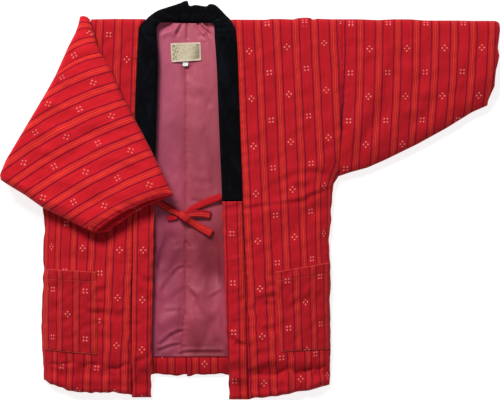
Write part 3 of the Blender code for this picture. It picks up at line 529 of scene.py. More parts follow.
def new_finish(name, **constants):
    """A material and the start of its sums; constants go on the surface shader's own sockets."""
    finish = bpy.data.materials.new(name)
    finish.use_nodes = True
    surface = finish.node_tree.nodes["Principled BSDF"]
    for socket, value in constants.items():
        surface.inputs[socket.replace("_", " ")].default_value = value
    return finish, surface, Shade(finish.node_tree)


def cloth_places(shade, layer="cloth"):
    """U across the stripes and V along them, in mm, from a piece's own UV map."""
    uv = shade.node("ShaderNodeUVMap", {"uv_map": layer})
    return tuple(uv.node("ShaderNodeSeparateXYZ", inputs={0: uv}, output=part) * MM_PER_M
                 for part in (0, 1))


STRIPE_PITCH, SECOND_LINE, BAND_MIDDLE, BAND_HALF, RIB_PITCH = 40.0, 16.5, 8.3, 4.1, 4.1
MOTIF_U, MOTIF_PITCH, DOT = 28.0, 101.6, 1.65      # place across, pitch down, dot's radius
SQUARE_REACH, SIDE_REACH, END_REACH = 3.5, 4.8, 5.4     # dots' middles from a motif's middle
RED, DEEP_RED = (0.53, 0.0100, 0.0180), (0.39, 0.0058, 0.0120)
ORANGE, RUST = (0.66, 0.041, 0.024), (0.42, 0.0075, 0.0125)
# The thread colour also paints the highlight along the pockets' top folds
INDIGO, THREAD_AND_HIGHLIGHT = (0.14, 0.002, 0.018, 1.0), (0.80, 0.16, 0.10, 1.0)
PINK, AMBER = (0.84, 0.19, 0.19, 1.0), (0.86, 0.22, 0.16, 1.0)


def toned(colour, tone):
    """A colour made lighter or darker by a factor."""
    return tuple(tone * part for part in colour) + (1.0,)


def striped_cotton(name, tone=1.0, stitches=None):
    """Warp-striped cotton: paired dark lines round an orange band, with four-dot motifs.

    Across one pitch of 40 mm: a dark line at 0, orange from 4 to 12.5, a dark line at 16.5
    and the motifs at 28. Squares of dots and lozenges of dots take turns from column to
    column, half a motif pitch apart. The tone makes lighter or darker copies of it: painted
    light and painted shade over whole pieces."""
    finish, surface, shade = new_finish(
        name, Roughness=0.85, Specular_IOR_Level=0.12, Sheen_Weight=0.03, Sheen_Roughness=0.5)
    u, v = cloth_places(shade)
    streak = (shade.noise(u * 0.5, v * 0.012, 2.0) - 0.5) * 1.7 + 0.5
    across = u + (shade.noise(u * 0.013, v * 0.022, 1.0) - 0.5) * 2.4
    half_pitch = STRIPE_PITCH / 2.0
    line = abs(across.wrap(half_pitch)).least(
        abs((across - SECOND_LINE).wrap(half_pitch))).within(1.05, 1.1)
    centre = abs((across - BAND_MIDDLE).wrap(half_pitch))
    ribs = centre.wave(RIB_PITCH, "COSINE")
    red = streak.tint(toned(DEEP_RED, tone), toned(RED, tone))
    warm = (ribs * 0.55 + streak * 0.45 + 0.2).tint(toned(RUST, tone), toned(ORANGE, tone))
    colour = line.tint(centre.within(BAND_HALF, 2.2).tint(red, warm), INDIGO)

    from_motif = across - MOTIF_U
    lozenge = 1.0 - abs(from_motif.wrap(STRIPE_PITCH)).within(half_pitch, 0.01)
    x = abs(from_motif.wrap(half_pitch))
    y = abs((v - lozenge * (MOTIF_PITCH / 2.0)).wrap(MOTIF_PITCH / 2.0))
    square_dot = (x - SQUARE_REACH).hypot(y - SQUARE_REACH)
    side_dot, end_dot = (x - SIDE_REACH).hypot(y), x.hypot(y - END_REACH)
    dot = square_dot + (side_dot.least(end_dot) - square_dot) * lozenge
    dot = (dot + (streak - 0.5) * 0.7).within(DOT, 0.8)
    colour = dot.tint(colour, (side_dot.within(2.6, 0.4) * lozenge).tint(PINK, AMBER))

    height = u.wave(0.62) * v.wave(0.74) * 0.5 + streak * 0.8 + dot * 0.4
    if stitches is not None:
        thread, groove = stitches(shade)
        # Stitches in thread colour, with the pockets' painted highlight along their top folds
        colour = thread.tint(colour, THREAD_AND_HIGHLIGHT)
        height = height - groove * 4.0 + thread * 2.0
    colour.feed(surface, "Base Color")
    height.emboss(surface, 0.55, 0.00016)
    (0.78 + streak * 0.1).feed(surface, "Roughness")
    return finish


CLOSING, CLOSING_WIDTH = 30.0, 25.0     # how far the stripes close up at the side


def body_cloth(half, x, y, depth):
    """U and V of a half's cloth; depth is the way down from the shoulder, below 0 on the back.

    U leans out with depth, and closes up as an exponential towards the side, where the cloth
    turns under. V rises outwards, in step with the rows of motifs."""
    lean = np.where(depth > 0.0, half["front_lean"], -half["back_lean"]) * depth
    inside = np.maximum(read(half["side"], np.minimum(y, -342.0)) - x, 0.0)
    closing = CLOSING * np.exp(-inside / CLOSING_WIDTH) * ease((-300.0 - y) / 60.0)
    rise = half["row_rise"] * (x - half["rise_from"]) * ease(depth / 60.0)
    sway = 0.5 * waves(0.5 * x, y, half["seed"] + 7, 36.0, 8) * ease((depth - 430.0) / 160.0)
    return stack(x - half["stripe_zero"] - lean + closing + sway,
                 depth - half["square_row"] + rise)


def neck_line(x):
    """y of the back neck seam: level behind the neck, then falling by a square to the fold."""
    return np.maximum(-5.6 - 0.0056 * np.maximum(x - 34.0, 0.0) ** 2, -SHOULDER)


def body(half):
    """Outer and inner points, cloth places and kept cells of one half, front hem to back hem.

    Rows run from the front hem, half round the shoulder fold and down to the back hem, and
    columns from the centre back past the collar's seam to the side. The cells between the
    centre and the collar's seam are kept on the back alone."""
    grid = BODY_GRID
    front_y = np.linspace(FRONT_START, -SHOULDER, grid["front_rows"])
    turn = np.linspace(0.0, np.pi, grid["shoulder"] + 2)[1:-1]
    back_y = np.linspace(-SHOULDER, BACK_START, grid["back_rows"])
    shoulder_y = -SHOULDER * (1.0 - np.sin(turn) ** 0.7)
    level = np.concatenate([front_y, shoulder_y, back_y])[:, None]
    is_front = np.arange(len(level)) < len(front_y)
    is_back = np.arange(len(level)) >= len(front_y) + len(turn)
    seam, side = read(half["collar_seam"], level), side_edge(half, level)
    front_x = mix(seam, side, gathered(grid["front"])[None, :])
    middle_x = mix(0.15, seam, np.linspace(0.0, 1.0, grid["middle"])[None, :-1])
    x = np.concatenate([middle_x, front_x], 1)
    y = level + 0.0 * x
    first = grid["middle"] - 1

    hem = read(half["hem"], x) + 0.9 * waves(x, 0.0, half["seed"] + 40, 24.0, 7)
    y_front = y + (hem - FRONT_START) * ease((-560.0 - y) / 230.0)
    back_hem = read(BACK_HEM, x) + 1.1 * waves(x, 0.0, half["seed"] + 41, 25.0, 7)
    y_back = y + (back_hem - BACK_START) * ease((-650.0 - y) / 108.0)
    behind_neck = (np.arange(x.shape[1]) < first) * ease((y_back + 62.0) / 41.0)
    y_back = y_back + (neck_line(x) + SHOULDER) * behind_neck

    y_out = np.where(is_front[:, None], y_front, np.where(is_back[:, None], y_back, y))
    y_out = y_out + shoulder_lift(half, x, y_out)
    front_z = front_height(half, x[is_front], y_front[is_front])
    away = inside_seam(half, x, y_out)
    front_in = front_base(away, x, y_out)
    turned = front_z[-1:] / 2.0 * (1.0 + square_cosine(turn[:, None]))
    armhole = 0.6 * armhole_dip(x[:, -1:] - x, y_out) * (half["sign"] > 0.0)
    armhole = armhole * (y_out > ARMHOLE_END)
    under = SIDE_SEAM[0] * pressed(y_out) * (1.0 - rim(away, BACK_RIM)) + armhole
    z_out = np.concatenate([front_z, turned, under[is_back]])
    y_in = np.where((is_front | is_back)[:, None], y_out, 0.0)
    y_in[~(is_front | is_back)] = (-SHOULDER + INNER_SHOULDER * np.sin(turn))[:, None]
    fold_z = (BACK_TOP + FRONT_BASE) / 2.0 + INNER_SHOULDER * np.cos(turn)
    z_in = np.concatenate([front_in[is_front], fold_z[:, None] + 0.0 * turned,
                           back_height(half, x[is_back], y_out[is_back], under_lining=True)])
    outer, inner = stack(x, y_out, z_out), stack(x, y_in, z_in)
    to_hem = np.where(is_back[:, None], y_out - read(BACK_HEM, x), y_out - hem)
    to_hem = np.where((is_front | is_back)[:, None], to_hem, 100.0)
    outer, inner = round_edge(outer, inner, to_hem, HEM_TURN)

    angle = np.concatenate([np.zeros(len(front_y)), turn, np.full(len(back_y), np.pi)])[:, None]
    depth = np.where(is_front[:, None], -y_out,
                     np.where(is_back[:, None], y_out * 0.99 - 24.0, SHOULDER * (1.0 - angle)))
    cloth = body_cloth(half, x, y_out, depth)
    cells = np.ones((len(level) - 1, x.shape[1] - 1), bool)
    cells[:np.argmax(is_back), :first] = False
    return outer, inner, cloth, cells


cotton = striped_cotton("striped_cotton")
for name, half in HALVES:
    outer, inner, cloth, cells = body(half)
    cloth_sheet("body_" + name, outer, inner, cloth, cotton, sign=half["sign"],
                          cells=cells)


# The left sleeve, spread flat: a padded tube of the same cotton, folded along its top edge
# and seamed under the arm, its cuff turned in. It is sewn to the body along the armhole,
# and the stripes curve towards the body on the way down.

SLEEVE_ARMPIT, SLEEVE_CUFF = -334.0, (642.0, 663.5)     # y; x at the seam and at the top fold
CUFF_BULGE = [(0, 3), (-8, 4.4), (-59, 4.9), (-76, 10.5), (-93, 9.5), (-107, 7.6), (-127, 8.3),
    (-141, 9.5), (-154, 5.1), (-171, 0.5)]
SLEEVE_GRID = dict(along=112, front=92, shoulder=11, back=60)
SLEEVE_FOLDS = [(345, -300, 430, -190, 20, -3.5), (350, -250, 420, -90, 20, 3),
    (470, -230, 560, -150, 22, -3), (560, -60, 640, -110, 20, 2.5), (380, -40, 400, -150, 24, 1.6),
    (600, -150, 640, -175, 12, -1.6)]


def sleeve_cloth(x, y, depth):
    """U and V of the spread sleeve: stripes bend back with the square of their depth."""
    out = unit((x - 327.0) / 336.0)
    bend = (9.0 + 21.0 * out ** 2) * (np.abs(depth) / 300.0) ** 2
    bend = bend + 3.6 * np.exp(-np.maximum(x - side_edge(LEFT, y), 0.0) / 4.0)
    return stack(x + bend - 321.7, depth - LEFT["square_row"] + 0.012 * (x - 350.0))


def sleeve_outline(x, y, along):
    """The straight-sided sleeve's points moved to the armhole's curve and the cuff's bulges.

    The first move fades with the square of the way left to the cuff; the second grows with the
    eighth power of the way along."""
    x = x + (side_edge(LEFT, y) + SEAM_GAP - x[:, :1]) * (1.0 - along) ** 2
    x = x + read(CUFF_BULGE, y) * along ** 8
    return x, y + shoulder_lift(LEFT, x, y)


def spread_sleeve():
    """The tube's outer and inner points and cloth, from the front underarm seam to the back one.

    Columns run from the armhole to the cuff. Rows go up the front, half round the top fold and
    down the back, and the puckers fade from each seam as an exponential."""
    grid = SLEEVE_GRID
    along = gathered(grid["along"])[None, :]
    armpit_x, shoulder_x = (read(LEFT["side"], y) + SEAM_GAP for y in (SLEEVE_ARMPIT, 0.0))
    seam_x, straight_x = mix(armpit_x, SLEEVE_CUFF[0], along), mix(shoulder_x, SLEEVE_CUFF[1], along)
    seam_y = read(UNDERARM[8:], seam_x) + 0.5
    share = gathered(grid["front"])[:, None]
    x, y = sleeve_outline(mix(seam_x, straight_x, share), mix(seam_y, -SHOULDER, share), along)
    fold_x = x[-1:]
    away = seam_distance(x, y)
    from_armhole = x - x[:, :1]
    dip = armhole_dip(from_armhole, y)
    pucker = waves(0.3 * x, y, 41, 16.0, 9)
    soft = folds(SLEEVE_FOLDS, x, y) + 0.8 * waves(x, y, 42, 46.0) + 0.3 * waves(x, 0.6 * y, 43, 18.0)
    soft = soft * rim(away, RIM) * rim(from_armhole, 40.0)
    soft += 0.8 * pucker * np.exp(-from_armhole / 12.0) * rim(away, 30.0)
    soft += 0.5 * waves(x, y, 44, 13.0, 9) * np.exp(-unit(away / 60.0) * 6.0) * rim(away, 6.0)
    soft *= ease((-23.0 - y) / 25.0)
    front = plain_front(away, x, y) - dip + soft
    share = np.linspace(1.0, 0.0, grid["back"])[:, None]
    back_x, back_y = sleeve_outline(mix(seam_x, straight_x, share), mix(seam_y, -SHOULDER, share),
                                    along)
    back_away = seam_distance(back_x, back_y)
    back_dip = 0.6 * armhole_dip(back_x - back_x[:, :1], back_y)
    under = SIDE_SEAM[0] * (1.0 - rim(back_away, BACK_RIM)) + back_dip
    turn = np.linspace(0.0, np.pi, grid["shoulder"] + 2)[1:-1, None]
    fold_y = y[-1:] + SHOULDER * np.sin(turn) ** 0.7
    fold_z = mix(under[:1], front[-1:], 0.5 * (1.0 + square_cosine(turn)))
    inner_y = -SHOULDER + INNER_SHOULDER * np.sin(turn)
    inner_z = mix(BACK_TOP, FRONT_BASE, 0.5 * (1.0 + np.cos(turn)))
    outer = np.concatenate([stack(x, y, front), stack(fold_x, fold_y, fold_z),
                            stack(back_x, back_y, under)])
    inner = np.concatenate([stack(x, y, front_base(away, x, y)), stack(fold_x, inner_y, inner_z),
                            stack(back_x, back_y, hidden_back(back_away, back_y))])
    from_cuff = (1.0 - along) * (SLEEVE_CUFF[0] - armpit_x)
    outer, inner = round_edge(outer, inner, from_cuff, HEM_TURN)
    depth = np.concatenate([-y, SHOULDER * (1.0 - turn) + 0.0 * fold_x, back_y - 24.0])
    return outer, inner, sleeve_cloth(outer[..., 0], outer[..., 1], depth)


cloth_sheet("sleeve_left", *spread_sleeve(), cotton)


# The right sleeve, folded over the front at a slant. Its hidden layers are one rounded
# padded form that rests on the body; its cuff shows both layers with a slit between them.
# Past the armhole seam the shoulder's corner is turned over with it.

# Distance from the cuff, outer x, y, inner x, y, how far a row bows up, height of its outer
# edge and of its top.
FOLDED = np.array([(-7, 192.5, -453.7, 26.6, -372.8, 13, 50, 76),
    (0, 205.5, -450.1, 28.8, -369.1, 10, 52, 78), (56, 263, -420.5, 56.9, -312, 6.5, 47, 80),
    (96, 306, -399.4, 74.5, -276.9, 8.7, 38, 79), (136, 344.9, -371.7, 93.7, -239.6, 9.8, 38, 79),
    (176, 382.3, -349.3, 113.3, -203.8, 11.7, 40, 79),
    (188, 394, -341.4, 119.1, -191.3, 12, 41, 79), (200, 396, -330.8, 122.5, -183.2, 12.5, 41, 79),
    (216, 383.2, -299.5, 131.4, -171.5, 13.3, 41, 79),
    (256, 338.7, -224.7, 148, -134.2, 8.8, 42, 79), (296, 297, -154.4, 164.6, -98, 5.5, 42, 79),
    (333, 278, -120.3, 181, -72.4, 9, 41, 78), (356, 262, -83.7, 190.6, -49, 6.1, 40, 76),
    (376, 252, -61, 193.4, -36, 8, 39, 74), (396, 235.4, -27.7, 198, -23.4, 6, 37, 71),
    (412, 229.8, -10, 202.4, -10.7, 3, 35, 67), (426, 226.8, 5.3, 204.5, -0.4, 4, 32, 60)])
# Where the armhole seam and the cuff's edge are, a step in from it, and the lower lip's jut;
# then the space beside the body, the height beyond it and the groove between the layers.
ARMHOLE_ROW, CUFF_ROW, CUFF_STEP, CUFF_JUT = 333.0, -7.0, 16.0, 15.0
FOLD_CLEARANCE, LYING, GROOVE = 4.0, SIDE_SEAM[3] + 2.2, 6.5
FOLDED_FOLDS = [(300, -330, 200, -250, 22, -3), (250, -250, 160, -190, 26, 2.5),
    (340, -250, 280, -170, 20, 2.5), (215, -400, 120, -330, 18, -2.5),
    (150, -150, 175, -90, 12, -2), (190, -130, 215, -70, 14, 1.8)]
# The cuff's lips, from the bottom of the slit to the outer surface: how far in from the
# edge, and the share of the whole thickness.
CUFF_LIP = [(24, 0.515), (19, 0.517), (14, 0.52), (9.5, 0.53), (6, 0.54), (2, 0.58), (0.3, 0.66),
    (0, 0.75), (1, 0.84), (4, 0.91), (9, 0.96), (15, 0.99)]
LOWER_LIP = [(24, 0.485), (16, 0.38), (11, 0.24), (9.5, 0.21), (7.5, 0.32), (4.5, 0.35),
    (1.5, 0.31), (0, 0.20), (1, 0.12), (4, 0.07), (9, 0.03), (15, 0.01)]


def pillow(distance, width):
    """Like rim but squarer: one less the 2.8th power, to the power of one over 2.8."""
    return (1.0 - (1.0 - unit(distance / width)) ** 2.8) ** (1.0 / 2.8)


def folded_rows(from_cuff):
    """Upper and lower points and cuff opening of rows of the folded sleeve.

    The upper face rises from the outer edge to the top as a squarer quarter ellipse, and ends
    at the inner edge in a plain one. The lower face rests on the body's front, and beyond its
    side it comes down towards the floor."""
    outer_x, outer_y, inner_x, inner_y, bow, edge, top = (
        np.interp(from_cuff, FOLDED[:, 0], column)[:, None] for column in FOLDED.T[1:])
    from_cuff = from_cuff[:, None]
    run_x, run_y = inner_x - outer_x, inner_y - outer_y
    length = np.hypot(run_x, run_y)

    def place(away):
        """x and y at a distance from the outer edge, the row bowed up by a parabola."""
        share = away / length
        lift = bow * 4.0 * share * (1.0 - share) / length
        return outer_x + run_x * share + run_y * lift, outer_y + run_y * share - run_x * lift

    fine = np.linspace(0.0, 1.0, 400)[None, :] * length
    fine_x, fine_y = place(fine)
    on_body = read(RIGHT["side"], fine_y) + FOLD_CLEARANCE > fine_x
    met = on_body.any(1, keepdims=True)
    first = np.take_along_axis(fine, on_body.argmax(1)[:, None], 1)
    wall = np.where(met, np.maximum(12.0, first), 0.6 * length)
    share = np.linspace(0.0, 1.0, 27)[None, :-1] ** 1.4
    away = np.concatenate([wall * share, wall + (length - wall) * gathered(56)[None, :]], 1)
    x, y = place(away)
    back = length - away
    inside = seam_distance(x, y)
    rest = mix(SIDE_SEAM[3], FRONT_TOP, rim(inside, RIM)) + mix(2.6, 0.4, rim(inside, 75.0))
    rest = np.where(inside < 0.0, LYING, rest)
    floor = mix(LYING, 0.0, ease((from_cuff - 112.0) / 24.0))
    beyond = (away < wall - 0.01) & (read(RIGHT["side"], y) + FOLD_CLEARANCE < x)
    under = np.where(beyond, np.minimum(floor, rest), rest)
    under = np.where(met, under, np.where(away < wall, 8.0, 39.0))
    under = mix(edge - 2.0, under, rim(away, np.minimum(0.85 * wall, 38.0)))
    round_width = mix(44.0, 25.0, ease((from_cuff - 50.0) / 60.0))
    round_width = np.minimum(round_width, 0.55 * length)
    over = mix(edge + 2.0, top, pillow(away, round_width))
    side_height = mix(FRONT_TOP, top, 0.5)
    over = mix(side_height + 2.0, over, rim(back, 22.0 * np.minimum(1.0, length / 60.0)))
    under = mix(np.maximum(side_height - 3.0, under), under, rim(back, 16.0))
    clear = rim(away, 60.0) * rim(back, 40.0)
    over = over + (folds(FOLDED_FOLDS, x, y) + 0.8 * waves(x, y, 51, 48.0)) * clear
    pucker = waves(x, 0.3 * y, 52, 14.0, 9)
    over = over + 0.45 * waves(x, y, 53, 21.0) * rim(away, 25.0) * rim(back, 25.0)
    seam = np.abs(from_cuff - ARMHOLE_ROW)
    over = over - (1.5 - 0.4 * pucker) * (1.0 - rim(seam, 9.0)) * rim(away, 30.0)
    open_cuff = np.sqrt(unit(np.minimum(away, back) / 14.0)) * (away > 0.0) * (back > 0.0)
    inward_x, inward_y = -np.gradient(outer_y, axis=0), np.gradient(outer_x, axis=0)
    drawn = GROOVE * np.sign(inward_x * run_x + inward_y * run_y) / np.hypot(inward_x, inward_y)
    drawn = drawn * ease(np.minimum(seam, FOLDED[-1, 0] - from_cuff) / 12.0)

    def layer(height):
        """Points at a height, drawn in where the rounded edges of the two layers meet."""
        meeting = drawn * bell(height - edge, 6.0) * (1.0 - ease(away / 20.0))
        return stack(x + inward_x * meeting, y + inward_y * meeting, height)

    return layer(over), layer(under), open_cuff


def folded_cloth(x, y, from_cuff, stripe_zero, motif_zero):
    """U follows the rows from the cuff; V is the plain distance along the stripes' direction."""
    along = (-(x - 171.7) * 0.876 + (y + 397.2) * 0.482) * 0.967
    return stack(from_cuff + stripe_zero, along + motif_zero)


def cuff_lips():
    """Points of the upper and lower lip's rows, and the upper ones' distance from the cuff.

    Each row steps in from the cuff's edge by its lip's table. The lower lip also juts out by
    a sine along the cuff, and both close up towards its two ends."""
    over, under, open_cuff = folded_rows(np.array([CUFF_ROW, CUFF_ROW + CUFF_STEP]))
    (near_x, near_y, over_z), under_z, open_cuff = over[0].T, under[0, :, 2], open_cuff[0]
    out_x, out_y, _ = (over[0] - over[1]).T / CUFF_STEP
    jut = CUFF_JUT * np.sin(np.pi * np.linspace(0.0, 1.0, len(near_x))) ** 1.1
    jut = jut * (1.0 + 0.07 * waves(near_x, near_y, 54, 22.0, 7))
    lips = []
    for table, reach in ((CUFF_LIP, 0.0), (LOWER_LIP, jut)):
        step_in, height = np.array(table).T[..., None]
        closed = mix(-1.2, 0.0, ease((height - 0.5) ** 2 * 20.0))
        step = mix(closed, step_in - reach * (1.0 - ease((step_in - 2.0) / 22.0)), open_cuff)
        frill = np.interp(height, (0.1, 0.3, 0.45, 0.5, 0.52), (0.0, 1.8, 0.0, 0.0, 0.8))
        frill = frill * waves(near_x, near_y, 55, 12.0, 8) * open_cuff
        lips.append(stack(near_x - out_x * step, near_y - out_y * step,
                          mix(under_z, over_z, height) + frill))
    step_in, height = np.array(CUFF_LIP).T[..., None]
    return *lips, CUFF_ROW + step_in * np.where(height < 0.75, -1.0, 1.0)


# A lighter copy for the folded sleeve: painted light, for the sheen its threads catch lying across
# the light
lit_cotton_copy = striped_cotton("striped_cotton_painted_lighter", tone=1.3)


def folded_piece(node, rows, stripe_zero, motif_zero, lips=None):
    """Rows of the folded sleeve as one closed padded sheet, after the cuff's lips if given."""
    outer, inner, _ = folded_rows(rows)
    from_cuff = rows[:, None]
    if lips:
        outer, inner, from_cuff = (np.concatenate([lip, row]) for lip, row in zip(
            lips, (outer, inner, from_cuff)))
    cloth = folded_cloth(outer[..., 0], outer[..., 1], from_cuff, stripe_zero, motif_zero)
    piece = cloth_sheet(node, outer, inner, cloth, lit_cotton_copy, sign=RIGHT["sign"])


folded_piece("sleeve_right", np.concatenate([
    np.linspace(13.0, 168.0, 42), np.linspace(171.0, 220.0, 20), np.linspace(224.0, 332.85, 31),
    [ARMHOLE_ROW]]), 39.0, MOTIF_PITCH / 2.0, cuff_lips())
folded_piece("body_right_fold", np.concatenate([
    [ARMHOLE_ROW + SEAM_GAP], np.linspace(333.45, 426.0, 34)]), -316.0, -94.3)


# The lining of the back, in two halves: rose satin, thin and slippery, joined down the
# centre back with a little fullness, gathered at the neck and caught to the hem's facing.

LINING, LINING_LENGTH, LINING_GRID = 1.2, 715.0, (400, 58)      # thickness, cut length, points
# Pairs for the noise to mix, at the neck and at the hem; the pair at the hem is darker: painted shade
ROSE, ROSE_SHADE = (0.52, 0.108, 0.160, 1.0), (0.36, 0.064, 0.100, 1.0)
HEM_ROSE_PAINTED_SHADE, HEM_DARK_PAINTED_SHADE = (0.42, 0.060, 0.104, 1.0), (0.21, 0.019, 0.034, 1.0)
# Plum, and a dark red for painted shade along the seam
PLUM, SEAM_PAINTED_SHADE = (0.34, 0.055, 0.17, 1.0), (0.20, 0.012, 0.022, 1.0)


def rose_satin():
    """Satin: fine threads along the piece, a soft gloss and slightly uneven colour.

    Its map's U is the distance from the seam, below 0 on the wearer's right, where the colour
    leans to plum. Painted shade: the colour darkens towards the hem, in slow waves down the
    piece that are strongest towards its sides, and softly into the seam."""
    finish, surface, shade = new_finish(
        "rose_lining", Specular_IOR_Level=0.25, Sheen_Weight=0.1, Sheen_Roughness=0.4,
        Sheen_Tint=(1.0, 0.7, 0.8, 1.0))
    u, v = cloth_places(shade)
    cloudy, thread = shade.noise(u * 0.018, v * 0.010, 3.0), shade.noise(u * 2.2, v * 0.15, 2.0)
    mottle = (cloudy - 0.5) * 1.3 + 0.35 + thread * 0.3
    # Painted shade: slow waves down the piece, strongest towards its sides, mixed in towards the hem
    painted_shade_waves = 0.5 - (v + 625.0).wave(250.0, "COSINE") * 0.5
    sides = ((abs(u) - 8.0) / 45.0).held() * 0.6 + 0.4
    down = ((0.0 - v - 30.0) / 380.0).held()
    colour = down.tint(mottle.tint(ROSE_SHADE, ROSE), (mottle + 0.2 - painted_shade_waves * sides).tint(
        HEM_DARK_PAINTED_SHADE, HEM_ROSE_PAINTED_SHADE))
    colour = (((12.0 - u) / 50.0).held() * 0.22).tint(colour, PLUM)
    # Painted shade, soft, along the seam
    colour = (abs(u).within(1.5, 8.0) * (cloudy * 0.9)).tint(colour, SEAM_PAINTED_SHADE)
    colour.feed(surface, "Base Color")
    (0.48 + thread * 0.14).feed(surface, "Roughness")
    thread.emboss(surface, 0.35, 0.0001)
    return finish


satin = rose_satin()
for name, half in HALVES:
    edge, share = half["lining_edge"], np.linspace(0.0, 1.0, LINING_GRID[0])[:, None]
    x = np.concatenate([[0.0, 0.15], np.linspace(1.5, edge, LINING_GRID[1])])[None, :]
    y = mix(neck_line(x) + 5.0 * ease((x - 24.0) / 10.0), LINING_HEM, share)
    at_seam = read(LINING_SEAM, y) * half["sign"]
    x = at_seam + x * (edge - at_seam) / edge
    low = back_height(half, x, y) + SEAM_GAP + 0.6 * (1.0 - ease((y - LINING_HEM) / 3.0))
    puckers = 0.15 * waves(0.2 * x, y, 61, 15.0, 8) * np.exp(-x / 7.0) * ease((-110.0 - y) / 20.0)
    high = low + LINING + np.maximum(puckers * (1.0 - under_ties(y)), -0.5)
    piece = cloth_sheet("lining_" + name, stack(x, y, high), stack(x, y, low),
                        stack((x - at_seam) * half["sign"], y), satin, "rose_lining",
                        half["sign"])


# The collar: a straight padded band of striped cotton sewn along both front edges and
# round the back neck. Its upper part is covered in black cotton velvet, which ends in a
# square edge on each front; below it the striped band runs down to the hem.

# Inner x, y and outer x, y, height of the underside, and thickness, from the left end up
# round the back neck and down to the right end.
VELVET = [(75.7, -386, 119.6, -386, 20.1, 22.5), (74, -340, 118, -340, 20.1, 23.5),
    (71.4, -280, 115.9, -280, 20.1, 24), (69, -220, 113.8, -220, 20.1, 24),
    (66.7, -160, 111.8, -160, 20.1, 24), (64.5, -105, 109.8, -105, 20.1, 24),
    (62, -65, 108.4, -65, 20.1, 24), (60, -38, 106.2, -38, 20.1, 24),
    (59.6, -24, 104.4, -21, 20.1, 23), (58.8, -14.5, 99.6, -11, 20.1, 21),
    (56.5, -6, 94, 0.5, 18, 22), (52, -5.2, 83.3, 11.7, 12, 23), (45, -5, 72, 23.9, 8, 24),
    (37, -4.9, 60.5, 33.7, 5, 25), (29.5, -4.9, 49, 35.4, 3, 26), (24, -4.9, 41, 31, 2, 23),
    (13, -4.8, 20, 33.7, 1.5, 24), (4.5, -4.6, 6, 32.2, 1.5, 23.5), (0.5, -4.6, 1.9, 41.7, 1.5, 26),
    (-4, -4.6, -5.5, 41.7, 1.5, 26), (-12, -4.4, -14.5, 37.7, 1.5, 24.5),
    (-22, -4.2, -29, 32.8, 2, 24), (-33, -3.6, -47, 27, 3.5, 24), (-43, -3.6, -61.8, 21.3, 7, 24),
    (-51, -4.6, -76, 11.7, 12, 23), (-57, -5.6, -87.2, 0.5, 18, 22),
    (-62.5, -13, -94, -11, 20.1, 21), (-64, -24, -100.4, -21, 20.1, 23),
    (-63, -45, -101.8, -45, 20.1, 23.5), (-60.5, -80, -103.8, -80, 20.1, 24),
    (-61, -120, -106, -120, 20.1, 24), (-62.5, -170, -108.4, -170, 20.1, 23),
    (-64, -215, -109.2, -215, 20.1, 21.9), (-66, -280, -110.5, -280, 20.1, 21.9),
    (-68, -340, -111.6, -340, 20.1, 21.9), (-69.2, -386, -112.3, -386, 20.1, 21.9)]
VELVET_CREASES = [(64, -74, 79, -47, 6, 1.8), (-70, -40, -92, -22, 6, 1.6)]
VELVET_GRID, BAND_GRID, BAND_ROUND = (14, 40), (150, 30), 13.0
BAND_TOP, BAND_HEM = -386.3, {1.0: -810.0, -1.0: -805.5}
# x of a motif column at the band's top, its lean, y of a first motif row, pitch, lozenge or not
BAND_CLOTH = {1.0: (95.6, 0.017, -454.8, 105.0, 0.0), -1.0: (90.3, 0.015, -489.9, 105.8, 1.0)}
# Drawn-in lines, pressed-over wrinkles, and where the folded sleeve presses the band down
BAND_CREASES = {
    1.0: [(90, -404, 124, -398, 7, 2.2), (88, -612, 120, -598, 8, 1.6),
        (92, -745, 130, -735, 9, 1.8), (80, -463, 104, -466, 7, 1.2)],
    -1.0: [(76, -560, 103, -547, 7, 2.4), (76, -712, 106, -706, 8, 1.6),
        (80, -640, 108, -648, 8, 1.2)]}
BAND_TUCKS = {1.0: [(93, -663, 104, -683, 6, 3), (104, -683, 124, -690, 6, 3)],
              -1.0: [(112, -722, 76, -712, 7, -2.4), (104, -748, 80, -750, 8, -1.6)]}
BAND_PRESSED = {1.0: [], -1.0: [(120, -428, 72, -412, 36, -10)]}
NAP, NAP_SHEEN = (0.0006, 0.0007, 0.0016, 1.0), (0.0026, 0.0036, 0.0064, 1.0)


def smooth(table, steps):
    """A smooth curve through the rows of a table: a Catmull-Rom cubic with steps to a span."""
    rows = np.array(table, dtype=float)
    ends = np.concatenate([2.0 * rows[:1] - rows[1:2], rows, 2.0 * rows[-1:] - rows[-2:-1]])
    a, b, c, d = (ends[i:len(ends) - 3 + i, None] for i in range(4))
    t = np.linspace(0.0, 1.0, steps, endpoint=False)[None, :, None]
    span = 0.5 * (2.0 * b + (c - a) * t + (2.0 * a - 5.0 * b + 4.0 * c - d) * t ** 2
                  + (3.0 * b - a - 3.0 * c + d) * t ** 3)
    return np.concatenate([span.reshape(-1, rows.shape[1]), rows[-1:]])


def creases(table, x, y):
    """Drawn-in lines: a narrow valley with a lower swelling on both sides of it."""
    height = np.zeros(np.shape(x))
    for *line, width, depth in table:
        away = segment_distance(line, x, y) / width
        height += depth * (0.45 * np.exp(-(away - 1.9) ** 2) - np.exp(-away ** 2))
    return height


def black_velvet():
    """Velvet: a short dark pile with a painted bluish sheen in cloudy strokes, where the nap lies
    down.

    The strokes are noise stretched along the collar, and finer noise adds the pile's relief."""
    finish, surface, shade = new_finish(
        "black_velvet", Roughness=0.95, Specular_IOR_Level=0.1, Sheen_Weight=0.05,
        Sheen_Roughness=0.35, Sheen_Tint=(0.6, 0.72, 1.0, 1.0))
    u, v = cloth_places(shade)
    nap = shade.noise(u * 0.05, v * 0.02, 4.0, Distortion=0.6)
    # Painted sheen: the pile lighter and bluer in cloudy strokes
    ((nap - 0.42) * 3.0).held().tint(NAP, NAP_SHEEN).feed(surface, "Base Color")
    (shade.noise(u * 1.8, v * 1.8, 2.0) + nap * 1.5).emboss(surface, 0.5, 0.0004)
    return finish


